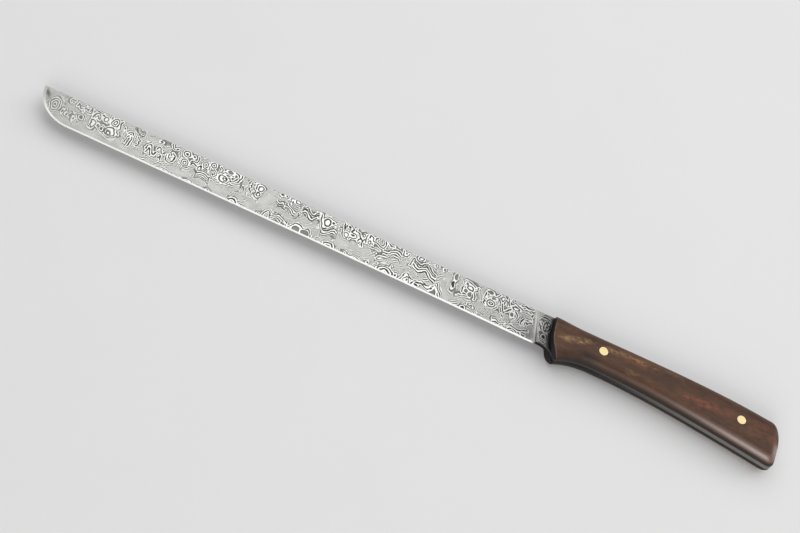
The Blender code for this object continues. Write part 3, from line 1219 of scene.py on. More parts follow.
@dataclass(frozen=True)
class Scale:
    """Wooden scale whose crown is flat between rounded shoulders."""

    name: str
    node: str
    side: float
    outline: HandleOutline
    pins: tuple
    tang_half: float = 1.5 * MM
    glue: float = 0.3 * MM
    thickness: float = 6.6 * MM
    wall: float = 1.0 * MM
    spine_rounding: float = 10.0 * MM
    belly_rounding: float = 6.0 * MM
    butt_rounding: float = 6.0 * MM
    shoulder_limit: float = 0.45
    hole_gap: float = 0.02 * MM
    pitch: float = 0.6 * MM
    corner_steps: int = 22
    shoulder_steps: int = 14
    crown_steps: int = 14
    crease: float = 30.0
    # Depth behind the front of the end grain, darkened further as painted shade.
    end_grain_and_shade: float = 0.25 * MM
    glue_ring: float = 0.45 * MM
    # Distance behind the front of the painted highlight, and its spread as a share of it.
    wear: float = 0.40 * MM
    wear_spread: float = 0.7
    edge_light_heights: tuple = (3.0 * MM, 4.0 * MM)
    edge_light_depths: tuple = (3.0 * MM, 9.0 * MM)
    # Heights over which the painted shade under the shoulder fades out.
    underside_shade_heights: tuple = (5.6 * MM, 3.0 * MM)
    # Where the sheen lies: the lower shoulder, more of it towards the butt; it colours a painted
    # highlight and sets a gloss coat.
    sheen_heights: tuple = (3.8 * MM, 5.6 * MM)
    sheen_drops: tuple = (0.1 * MM, 1.3 * MM)
    sheen_middle: tuple = (0.0, 4.0 * MM)
    sheen_places: tuple = (340.0 * MM, 440.0 * MM)
    sheen_power: float = 1.6
    sheen_least: float = 0.06

    def widths(self, length: np.ndarray) -> tuple[np.ndarray, np.ndarray]:
        """Widths of the two rounded shoulders of a section of that length."""
        limit = self.shoulder_limit * length
        return np.minimum(self.spine_rounding, limit), np.minimum(self.belly_rounding, limit)

    def raised(self, distance: np.ndarray, length: np.ndarray, x: np.ndarray) -> np.ndarray:
        """Height over the tang: the wall, and over it the product of the three quarter ellipses.

        Args:
            distance: How far down its section each place is.
            length: Length of the section.
            x: Where it is along the knife.

        Returns:
            Height of each place.
        """
        upper, lower = self.widths(length)
        rounding = rise(distance, upper) * rise(length - distance, lower)
        rounding = rounding * rise(self.outline.butt - x, self.butt_rounding)
        return self.tang_half + self.wall + (self.thickness - self.wall) * rounding

    def height_at(self, plan: np.ndarray) -> np.ndarray:
        """Height of the crown over places where the sections stand upright."""
        spine, belly = self.outline.spine_at(plan[..., 0]), self.outline.belly_at(plan[..., 0])
        return self.raised(spine - plan[..., 1], spine - belly, plan[..., 0]) * self.side

    def skin(self) -> Skin:
        """Grid of sections by distances across, closed by the flat face towards the tang.

        Returns:
            The closed surface.
        """
        upper_points, lower_points = self.outline.stations(self.pitch, self.corner_steps)
        length = length_of(lower_points - upper_points)
        upper, lower = self.widths(length)
        near = 1 - np.cos(quarter(self.shoulder_steps))[None]
        crown = steps_between(0.0, 1.0, self.crown_steps)[None, :-1]
        middle = upper + (length - lower - upper) * crown
        distance = np.concatenate([upper * near, middle, length - lower * near[:, ::-1]], axis=1)
        flat = self.outline.plan(upper_points, lower_points, distance / length)
        easing = self.outline.easing
        sink = easing * (1 - rise(upper_points[:, :1] - self.outline.front, np.array(easing)))
        height = (self.raised(distance, length, flat[..., 0]) - sink) * self.side
        crown_side = Side(height, self.height_at)
        inner_side = level_side(height.shape, (self.tang_half + self.glue) * self.side)
        return slab(flat, (crown_side, inner_side), [pin.hole(self.hole_gap) for pin in self.pins])

    def mark(self, mesh: bpy.types.Mesh) -> None:
        """Write the dark end grain, the painted light and shade and the sheen to each point of its mesh.

        The end grain shows at the front, darkened further as painted shade, with a dark ring round the
        pins;
        a painted highlight runs along the front's upper edge, painted shade lies below, and a sheen with
        a painted highlight lies on the lower shoulder, more of it towards the butt.

        Args:
            mesh: The scale's mesh.
        """
        own = own_places(mesh)
        x, y, height = own[:, 0], own[:, 1], np.abs(own[:, 2])
        behind = x - self.outline.front_at(y)
        # End grain at the front, darkened further as painted shade, and a dark glue ring round each pin.
        dark = 1.0 - behind / self.end_grain_and_shade
        for hole in (pin.hole(0.0) for pin in self.pins):
            out = np.hypot(x - hole.x, y - hole.y) - hole.radius
            dark = np.maximum(dark, 1.0 - out / self.glue_ring)
        # Painted highlight along the front's upper edge.
        painted_light = fade_in(height, *self.edge_light_heights) * fade_in(-y, *self.edge_light_depths)
        painted_light *= np.exp(-(((behind - self.wear) / (self.wear_spread * self.wear)) ** 2))
        middle = (self.outline.spine_at(x) + self.outline.belly_at(x)) / 2
        # Sheen on the lower shoulder, painted into the colour and laid as a gloss coat, more of it
        # towards the butt.
        shoulder_sheen = fade_in(self.tang_half + self.thickness - height, *self.sheen_drops)
        shoulder_sheen *= fade_in(height, *self.sheen_heights) * fade_in(middle - y, *self.sheen_middle)
        rear = fade_in(x, *self.sheen_places) ** self.sheen_power
        write_marks(mesh, "end_grain_and_shade", np.clip(dark, 0.0, 1.0))
        write_marks(mesh, "painted_edge_light", painted_light)
        # Painted shade under the lower shoulder.
        write_marks(mesh, "painted_underside_shade", fade_in(height, *self.underside_shade_heights))
        write_marks(mesh, "shoulder_sheen", shoulder_sheen * blend(self.sheen_least, 1.0, rear))

    def build(self, wood: bpy.types.Material) -> bpy.types.Object:
        """Make the scale.

        Args:
            wood: Its finish.

        Returns:
            The scale.
        """
        mesh = self.skin().mesh(self.name, self.crease)
        self.mark(mesh)
        piece = dressed(self.name, mesh, [wood])
        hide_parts(self.node)
        return piece


@dataclass(frozen=True)
class GlueFilm:
    """Film of epoxy between the tang and a scale, which stands a hair back from their edges."""

    name: str
    side: float
    outline: HandleOutline
    pins: tuple
    low: float = 1.5 * MM
    high: float = 1.8 * MM
    clear: float = 0.004 * MM
    inset: float = 0.12 * MM
    pitch: float = 1.6 * MM
    corner_steps: int = 14
    steps: int = 16
    crease: float = 30.0

    def build(self, glue: bpy.types.Material) -> bpy.types.Object:
        """Plan of the handle, drawn in at its borders, between the two faces.

        Args:
            glue: Its finish.

        Returns:
            The film.
        """
        upper, lower = self.outline.stations(self.pitch, self.corner_steps)
        flat = self.outline.plan(upper, lower, np.linspace(0.0, 1.0, self.steps + 1)[None])
        flat[:, 0, 1] -= self.inset
        flat[:, -1, 1] += self.inset
        flat[0, :, 0] += self.inset
        flat[-1, :, 0] -= self.inset
        heights = (self.high - self.clear, self.low + self.clear)
        sides = [level_side(flat.shape[:2], height * self.side) for height in heights]
        skin = slab(flat, sides, [pin.hole(0.0) for pin in self.pins])
        return dressed(self.name, skin.mesh(self.name, self.crease), [glue])


# The figure of the steel, in millimetres from the point and below the spine


@dataclass(frozen=True)
class Oval:
    """Oval of the steel's face, given by its middle and its half length and width."""

    x: float
    y: float
    length: float
    width: float

    def cover(self, x: np.ndarray, y: np.ndarray) -> np.ndarray:
        """1 inside the oval, with a soft border."""
        return fade_in(np.hypot((x - self.x) / self.length, (y - self.y) / self.width), *SOFT_BORDER)


@dataclass(frozen=True)
class Rings(Oval):
    """Ringed eye in the steel, where the layers were pressed and then ground through.

    A whole number of layers leaves its middle light, and half a layer more leaves it dark. The core is
    the share of the eye that is one even layer, and a peaked eye is a rhomb.
    """

    layers: float
    core: float = 0.0
    lean: float = 0.0
    peaked: bool = False

    def reach(self, x: np.ndarray, y: np.ndarray) -> np.ndarray:
        """Distance from the middle as a share of the eye: an oval's, or a sum's if it is peaked.

        Args:
            x: Distance from the point.
            y: Depth below the spine.

        Returns:
            0 in the middle and 1 at the eye's border.
        """
        turn = math.radians(self.lean)
        along = ((x - self.x) * math.cos(turn) + (y - self.y) * math.sin(turn)) / self.length
        across = ((y - self.y) * math.cos(turn) - (x - self.x) * math.sin(turn)) / self.width
        return np.abs(along) + np.abs(across) if self.peaked else np.hypot(along, across)

    def beyond(self, x: np.ndarray, y: np.ndarray) -> np.ndarray:
        """Distance outside the eye, and nothing inside it."""
        return np.maximum(self.reach(x, y) - 1.0, 0.0) * min(self.length, self.width)

    def layer(self, x: np.ndarray, y: np.ndarray) -> np.ndarray:
        """Layer number, which climbs from the eye's border to the border of its even core."""
        down = np.clip((self.reach(x, y) - self.core) / (1.0 - self.core), 0.0, 1.0)
        return 0.5 + self.layers * (1.0 - down)

    def filled(self, x: np.ndarray, y: np.ndarray) -> np.ndarray:
        """Where a wide dark core lies, whose grey is paler than a line's.

        Args:
            x: Distance from the point.
            y: Depth below the spine.

        Returns:
            1 in such a core and 0 outside it.
        """
        if self.core < WIDE_CORE or self.layers >= 1.0:
            return np.zeros_like(x)
        return fade_in(self.reach(x, y), self.core + CORE_BORDER, self.core)


@dataclass(frozen=True)
class Stack(Oval):
    """Short stack of even lines in an oval window, as many layers cut at a slant.

    The heading is across the lines in degrees from X, and the swing and its period make them wavy.
    """

    pitch: float
    heading: float = 90.0
    show: float = 0.8
    swing: float = 0.0
    period: float = 6.0

    def layer(self, x: np.ndarray, y: np.ndarray) -> np.ndarray:
        """Way along the heading, swung by a cosine of x, in pitches.

        Args:
            x: Distance from the point.
            y: Depth below the spine.

        Returns:
            The layer number.
        """
        heading = math.radians(self.heading)
        way = (x - self.x) * math.cos(heading) + (y - self.y) * math.sin(heading)
        return 0.5 + (way + self.swing * np.cos(math.tau * (x - self.x) / self.period)) / self.pitch


@dataclass(frozen=True)
class Strand:
    """Dark line through the given places."""

    points: tuple

    def way(self) -> np.ndarray:
        """Curve through the points: a cubic for each stretch, from the two points before and after it.

        Returns:
            Places close together along it.
        """
        points = np.array(self.points)
        ends = np.concatenate([2 * points[:1] - points[1:2], points, 2 * points[-1:] - points[-2:-1]])
        t = np.linspace(0.0, 1.0, STRETCH_STEPS + 1)[:-1, None]
        a, b, c, d = (ends[first : len(ends) - 3 + first, None] for first in range(4))
        curve = 2 * b + (c - a) * t + (2 * a - 5 * b + 4 * c - d) * t**2 + (3 * b - a - 3 * c + d) * t**3
        return np.concatenate([curve.reshape(-1, 2) / 2, points[-1:]])

    def distance(self, x: np.ndarray, y: np.ndarray) -> np.ndarray:
        """Distance to the nearest stretch of the curve.

        Args:
            x: Distance from the point.
            y: Depth below the spine.

        Returns:
            The distance.
        """
        way = self.way()
        nearest = np.full(x.shape, np.inf)
        for start, run in zip(way[:-1], np.diff(way, axis=0)):
            off_x, off_y = x - start[0], y - start[1]
            share = np.clip((off_x * run[0] + off_y * run[1]) / (run @ run), 0.0, 1.0)
            nearest = np.minimum(nearest, np.hypot(off_x - share * run[0], off_y - share * run[1]))
        return nearest


@dataclass(frozen=True)
class Folds(Strand):
    """Strand that is repeated further down, once for each row."""

    rows: int
    step: float

    def layer(self, x: np.ndarray, y: np.ndarray) -> np.ndarray:
        """Depth below the strand, in steps."""
        return (y - np.interp(x, *self.way().T)) / self.step

    def beyond(self, x: np.ndarray, y: np.ndarray) -> np.ndarray:
        """Distance outside the rows and their ends, and nothing among them.

        Args:
            x: Distance from the point.
            y: Depth below the spine.

        Returns:
            The distance, where a slanting way across counts for a little less.
        """
        row = self.layer(x, y)
        across = np.maximum(-0.5 - row, row - self.rows + 0.5) * SLANT_SHARE * self.step
        along = np.maximum(self.points[0][0] - x, x - self.points[-1][0])
        return np.maximum(np.maximum(across, along), 0.0)


@dataclass(frozen=True)
class SteelFigure:
    """Figure of the layered steel: the layer that reaches the face at each place.

    The calms are ovals that are almost plain, because one layer lies flat there. Pairs of distances
    are where something begins to fade in and where it is in full.
    """

    stacks: tuple = tuple(Stack(*row) for row in (
        (45.0, 5.8, 1.5, 3.2, 0.9, 5, 0.7, 0.2), (57.4, 8.4, 1.7, 3.4, 1.0, 60, 0.7),
        (59.4, 6.5, 1.0, 2.6, 0.85, 80, 0.6), (63.2, 16.2, 1.6, 2.2, 0.85, 50, 1.0),
        (71.3, 16.0, 2.4, 2.0, 0.85, 65), (75.4, 12.4, 2.6, 3.0, 1.1, 60, 0.6),
        (70.4, 10.0, 1.8, 3.6, 1.1, 20), (21.5, 12.6, 1.2, 2.8, 0.8, 12, 0.5),
        (38.6, 12.6, 1.8, 1.0, 0.7, 125, 0.6), (36.0, 14.2, 2.0, 1.6, 0.8, 60, 0.3),
        (65.6, 13.6, 2.0, 2.2, 0.9, 30, 0.5), (55.0, 14.0, 1.6, 2.4, 0.8, 10, 0.25),
        (26.5, 7.2, 1.6, 1.4, 0.75, 60, 0.4), (48.6, 8.6, 1.0, 4.0, 0.8, 8, 0.3),
        (12.8, 14.8, 5.0, 1.2, 0.7, 62, 0.35), (66.0, 3.4, 3.2, 2.4, 0.9, 75, 0.3),
        (72.8, 5.0, 1.6, 2.0, 0.9, 60, 0.4), (88.3, 9.4, 1.1, 3.4, 0.8, 72),
        (104.8, 10.9, 1.5, 1.3, 0.8, 65, 0.9), (121.3, 6.0, 1.3, 4.8, 1.1, 68, 1.0),
        (120.2, 12.4, 1.8, 2.2, 0.85, 78, 0.6), (117.0, 5.6, 0.9, 4.8, 0.85, 82, 0.6),
        (135.6, 5.6, 1.5, 5.0, 0.8, 80, 0.4), (151.4, 4.8, 1.2, 3.8, 0.9, 12, 0.7),
        (119.4, 17.0, 2.0, 1.5, 0.85, 50, 0.9), (136.4, 16.6, 1.8, 2.0, 0.85, 40, 0.9),
        (140.0, 10.6, 4.4, 1.3, 0.75, 82, 0.45), (96.2, 3.0, 1.0, 2.4, 0.7, 5, 0.4),
        (134.0, 10.0, 1.4, 2.4, 0.8, 75, 0.35), (112.4, 12.6, 1.2, 2.2, 0.8, 25, 0.3),
        (102.4, 6.6, 0.8, 3.0, 0.8, 10, 0.5), (144.8, 11.8, 3.0, 1.6, 0.8, 66, 0.4),
        (78.6, 14.2, 1.2, 1.8, 0.8, 40, 0.3), (108.2, 13.8, 1.6, 1.0, 0.7, 70, 0.35),
        (80.4, 9.0, 0.8, 3.6, 0.8, 8, 0.4), (155.6, 10.8, 4.8, 3.0, 0.8, 68, 0.42),
        (165.5, 13.4, 4.4, 2.2, 0.75, 68, 0.42), (186.0, 12.4, 2.6, 3.0, 0.75, 82, 0.42),
        (193.6, 13.0, 2.4, 2.8, 0.75, 74, 0.5), (211.5, 7.2, 1.2, 4.6, 0.8, 75),
        (164.2, 16.8, 2.8, 1.3, 0.9, 90, 0.9, 0.25), (186.0, 17.1, 3.2, 1.1, 0.85, 90, 0.85, 0.25),
        (221.0, 11.6, 5.6, 2.0, 0.75, 85, 0.5), (227.4, 10.8, 2.4, 3.8, 0.85, 62, 0.85),
        (207.6, 10.4, 2.6, 1.8, 0.85, 65, 0.6), (175.0, 12.8, 1.4, 1.6, 0.7, 85, 0.25),
        (189.0, 14.6, 1.4, 2.0, 0.75, 20, 0.4), (192.8, 8.0, 1.6, 1.4, 0.8, 80, 0.6),
        (173.0, 1.6, 2.4, 1.2, 0.75, 85, 0.4), (158.0, 1.2, 4.0, 0.8, 0.7, 80, 0.35),
        (233.3, 6.6, 1.1, 3.2, 0.9, 75), (245.2, 17.4, 2.4, 1.2, 0.9, 66, 0.9),
        (262.4, 15.3, 2.6, 1.2, 0.75, 98), (281.6, 10.2, 1.3, 2.8, 0.85, 12),
        (284.6, 5.4, 3.2, 1.6, 0.8, 86, 0.65, 0.2), (245.0, 5.0, 1.2, 4.2, 0.8, 8, 0.4),
        (257.2, 5.0, 1.1, 4.4, 0.8, 172, 0.4), (278.4, 2.0, 2.2, 1.2, 0.8, 80, 0.7),
        (264.4, 7.0, 3.0, 0.9, 0.7, 80, 0.5), (282.0, 13.8, 4.0, 1.2, 0.7, 80, 0.4),
        (270.4, 14.0, 2.6, 1.0, 0.7, 86, 0.35), (287.6, 14.6, 1.1, 2.6, 0.8, 35, 0.5),
        (233.0, 3.2, 1.6, 1.4, 0.8, 60, 0.5), (250.0, 13.8, 2.4, 1.0, 0.8, 100, 0.35),
        (267.0, 6.6, 1.0, 2.8, 0.8, 15, 0.5), (274.2, 12.0, 3.6, 0.8, 0.7, 84, 0.3),
        (226.6, 1.4, 2.6, 1.0, 0.75, 70, 0.6), (294.6, 11.0, 1.4, 2.0, 0.8, 40),
        (298.6, 15.8, 1.2, 2.4, 0.8, 30, 0.7),
    ))
    strands: tuple = tuple(Strand(points) for points in (
        ((15.3, 8.4), (15.0, 11.6), (16.2, 12.9), (17.8, 12.6)),
        ((16.6, 11.8), (17.2, 10.2), (18.2, 9.2)),
        ((19.9, 3.8), (20.4, 1.4), (21.2, 2.8), (21.9, 4.3), (23.2, 3.6)),
        ((21.8, 2.4), (23.2, 2.0), (24.0, 0.8)), ((25.2, 1.8), (26.4, 0.9), (27.6, 1.8), (27.4, 3.4)),
        ((25.2, 4.2), (26.6, 5.0), (28.3, 4.2), (28.3, 1.6)),
        ((29.2, 1.0), (31.4, 1.2), (34.5, 1.6), (36.4, 2.2), (38.0, 3.6), (38.0, 5.8)),
        ((29.7, 6.0), (30.2, 3.6), (31.9, 2.2), (33.2, 3.4), (33.8, 5.8)),
        ((31.0, 5.4), (31.9, 3.8), (32.8, 5.4)), ((16.0, 3.4), (16.2, 1.2), (18.2, 1.2)),
        ((39.6, 0.4), (39.4, 2.6), (40.2, 5.4), (41.6, 6.4), (43.4, 6.0)),
        ((45.4, 0.8), (44.8, 2.4), (45.2, 5.0), (44.6, 7.6), (45.4, 9.8)),
        ((50.2, 12.2), (50.4, 8.4), (51.4, 7.2)), ((53.0, 7.4), (52.9, 10.8), (52.2, 13.6)),
        ((50.2, 6.2), (50.8, 4.8), (52.4, 4.8), (53.1, 6.0)),
        ((56.0, 5.4), (57.4, 7.2), (56.8, 8.6), (57.8, 9.4), (56.4, 11.4)),
        ((61.8, 10.0), (62.8, 7.0), (64.0, 6.6), (65.2, 9.4), (66.6, 12.0), (67.6, 9.6)),
        ((62.4, 12.2), (63.3, 9.0), (64.4, 10.6), (65.4, 13.0)),
        ((67.6, 7.4), (68.2, 5.8), (69.6, 6.8), (70.4, 9.2)),
        ((73.0, 8.2), (73.8, 11.2), (75.6, 12.2), (77.4, 10.2), (77.8, 7.6)),
        ((74.2, 7.2), (75.2, 9.6), (76.6, 8.0)), ((73.9, 0.4), (74.8, 2.2), (76.6, 3.0), (78.0, 1.6)),
        ((69.4, 13.0), (70.6, 10.6), (71.2, 13.2)), ((76.0, 5.8), (77.6, 6.6), (78.0, 8.6)),
        ((81.6, 6.0), (81.0, 8.6), (82.4, 10.8)),
        ((86.6, 6.4), (87.6, 4.6), (89.4, 5.2), (90.3, 3.4), (89.6, 1.0)),
        ((86.8, 8.0), (88.0, 6.0), (90.0, 7.0)), ((91.0, 8.4), (91.2, 6.4), (92.4, 6.0), (93.2, 8.0)),
        ((96.8, 3.6), (97.0, 5.8), (98.2, 8.6)), ((100.8, 9.2), (102.2, 9.6), (103.4, 8.6)),
        ((102.4, 0.6), (103.8, 2.2), (103.2, 4.2)),
        ((104.4, 4.6), (105.6, 3.0), (108.2, 2.9), (110.4, 3.4)),
        ((111.0, 0.6), (112.9, 1.4), (113.2, 3.2), (111.6, 5.4), (109.2, 7.6)),
        ((114.4, 0.5), (114.9, 2.4), (113.6, 5.2), (111.0, 7.9)),
        ((107.2, 5.4), (109.0, 5.5), (109.6, 7.2), (108.0, 9.6)),
        ((120.4, 3.4), (121.6, 4.6), (120.6, 6.2), (121.8, 7.4), (120.4, 9.2)),
        ((124.5, 0.8), (123.8, 2.4), (124.3, 4.6)), ((120.9, 3.2), (121.3, 1.1), (122.8, 0.8)),
        ((132.4, 17.8), (133.2, 14.8), (134.8, 13.6), (136.0, 15.2), (136.6, 17.8)),
        ((147.4, 17.6), (148.8, 15.8), (150.4, 13.9), (152.6, 13.5), (155.2, 14.4), (158.2, 14.1),
         (159.6, 15.8), (160.5, 18.0)),
        ((152.8, 1.6), (154.6, 2.2), (156.0, 3.9), (157.6, 4.7), (159.0, 2.6), (160.2, 1.4)),
        ((161.9, 1.6), (162.4, 4.6), (163.6, 7.8), (165.2, 9.2), (168.2, 7.2), (170.4, 4.9),
         (172.4, 4.2)), ((175.4, 0.8), (175.6, 3.0), (176.4, 5.2)),
        ((176.3, 3.2), (177.0, 0.8), (179.6, 0.7), (181.0, 2.2), (180.0, 4.0), (182.4, 4.2),
         (183.9, 5.6), (182.6, 7.0), (180.2, 7.3), (179.8, 8.8)),
        ((182.4, 0.6), (182.0, 2.4), (184.4, 3.0), (185.7, 5.4), (184.6, 7.6)),
        ((186.2, 5.2), (187.0, 7.4), (186.2, 9.6)), ((188.0, 4.8), (187.2, 7.4), (188.0, 9.8)),
        ((189.0, 1.0), (188.6, 3.4), (189.0, 6.4)),
        ((190.2, 2.8), (190.6, 1.0), (192.0, 1.4), (192.5, 3.4), (193.6, 3.6), (195.4, 3.8),
         (197.4, 4.9), (199.0, 4.8), (200.0, 2.6), (199.3, 0.6)),
        ((194.6, 0.6), (193.6, 1.8), (194.2, 2.8)), ((201.0, 0.9), (203.4, 1.8), (204.6, 1.0)),
        ((197.5, 12.4), (198.8, 10.6), (201.4, 9.9)), ((197.8, 13.1), (200.0, 12.1), (202.2, 10.9)),
        ((210.0, 0.8), (210.4, 3.0), (211.4, 4.0), (213.0, 3.4), (213.6, 1.2)),
        ((215.7, 7.6), (216.3, 3.4), (217.1, 2.7), (219.4, 4.5), (221.4, 4.9), (223.6, 3.2),
         (225.2, 2.7), (227.4, 4.7), (229.4, 6.4), (231.0, 6.9)),
        ((213.2, 17.9), (214.2, 14.8), (216.2, 13.0), (218.0, 14.8), (220.6, 15.3), (223.0, 14.0),
         (225.2, 13.5), (228.2, 15.2)),
        ((214.8, 18.0), (215.4, 15.8), (216.6, 14.8), (217.8, 16.2), (218.4, 18.0)),
        ((219.4, 18.0), (220.6, 16.8), (222.8, 15.7), (225.0, 15.2), (228.6, 16.9), (231.0, 15.2)),
        ((226.0, 14.9), (228.6, 15.0), (230.8, 13.0), (232.2, 10.8), (233.2, 11.4), (234.6, 14.6),
         (236.6, 16.8), (237.2, 18.4)), ((247.6, 1.4), (247.4, 4.0), (246.6, 7.0), (247.0, 9.4)),
        ((255.4, 2.6), (254.8, 5.0), (253.4, 6.4), (254.9, 8.6), (254.3, 11.0)),
        ((244.6, 12.4), (247.4, 11.3), (250.6, 10.6)), ((248.6, 1.6), (251.4, 2.2), (253.6, 3.4)),
        ((259.7, 6.8), (259.9, 3.8), (260.6, 1.2)),
        ((261.4, 5.5), (263.4, 3.7), (266.2, 3.0), (267.7, 0.8)),
        ((259.6, 7.6), (260.9, 8.3), (259.7, 9.2), (260.8, 10.2)),
        ((262.2, 11.2), (264.4, 10.5), (267.0, 10.3), (267.8, 9.0)),
        ((271.0, 5.4), (271.2, 2.8), (272.4, 3.4), (273.2, 5.6)),
        ((273.0, 0.6), (273.2, 2.8), (274.4, 4.8)),
        ((275.0, 1.6), (277.0, 2.1), (279.2, 2.8), (281.2, 3.4)),
        ((274.8, 0.6), (275.2, 2.0), (277.0, 1.6)),
        ((269.9, 5.4), (271.0, 8.2), (272.1, 10.4), (273.5, 8.5), (275.6, 6.4)),
        ((269.6, 8.2), (270.6, 10.4)),
        ((278.4, 6.8), (279.8, 8.0), (280.0, 10.0), (279.3, 11.6), (278.6, 12.8)),
        ((283.0, 12.4), (283.2, 10.2), (284.3, 8.3), (286.2, 7.6), (288.4, 7.3)),
        ((285.0, 12.2), (285.2, 10.3), (286.0, 9.9), (286.4, 11.2), (287.3, 9.6), (288.7, 8.9)),
        ((280.6, 1.5), (283.0, 1.0), (285.4, 1.3), (288.0, 1.0)),
        ((281.4, 4.0), (284.0, 3.0), (287.0, 3.7)),
        ((252.2, 14.2), (254.0, 13.7), (255.8, 14.6), (256.8, 16.2)),
        ((267.6, 16.5), (269.4, 15.9), (271.6, 16.8), (273.2, 16.5), (274.4, 15.5)),
        ((275.2, 17.2), (276.6, 16.2), (278.2, 15.5), (280.4, 16.0), (282.6, 16.6), (284.6, 16.0),
         (288.0, 14.7)), ((268.0, 18.0), (269.8, 17.4), (271.8, 18.0)),
        ((277.2, 18.2), (279.2, 17.3), (281.0, 17.7), (282.8, 18.3)),
        ((291.9, 6.2), (293.0, 8.0), (292.3, 10.6), (293.6, 13.4), (295.6, 16.8), (298.4, 17.6)),
        ((293.7, 6.0), (294.6, 7.2), (293.9, 9.4), (295.4, 10.8), (296.8, 12.0), (298.2, 12.2)),
        ((299.5, 6.2), (298.7, 9.6), (299.7, 13.4), (299.0, 16.6)),
    ))
    folds: tuple = tuple(Folds(*row) for row in (
        (((54.6, 0.8), (55.6, 2.0), (56.7, 3.0), (57.9, 2.4)), 2, 1.1),
        (((91.6, 9.4), (93.4, 8.5), (96.0, 8.4), (98.4, 9.4)), 4, 1.15),
        (((136.8, 4.4), (138.2, 5.6), (140.2, 4.6), (141.8, 6.2)), 2, 1.5),
        (((142.8, 3.8), (145.4, 5.6), (147.4, 7.0), (149.1, 6.6), (149.8, 5.0)), 3, 1.45),
        (((137.0, 15.8), (139.0, 13.6), (140.6, 12.8), (143.4, 14.2), (146.4, 16.0)), 3, 1.45),
        (((150.8, 6.6), (151.8, 3.6), (153.6, 3.0), (155.4, 5.2), (157.6, 6.2), (159.0, 4.4),
         (160.2, 3.1), (160.9, 4.4)), 2, 2.0),
        (((164.2, 9.6), (165.4, 10.6), (168.2, 9.0), (170.8, 6.6), (172.6, 7.8)), 3, 1.6),
        (((199.6, 5.9), (202.6, 5.4), (204.2, 3.6), (206.4, 2.6), (208.4, 3.0), (210.0, 4.2)), 4, 1.5),
        (((217.2, 4.4), (219.4, 5.9), (221.4, 6.3), (223.6, 4.6), (225.2, 4.3), (227.4, 6.4),
         (229.4, 7.8), (231.4, 8.3)), 3, 1.75), (((251.6, 15.0), (254.0, 15.7), (256.8, 17.0)), 3, 1.05),
        (((291.4, 5.6), (292.6, 3.4), (295.0, 2.5), (298.0, 2.9), (299.8, 4.4)), 2, 1.0),
    ))
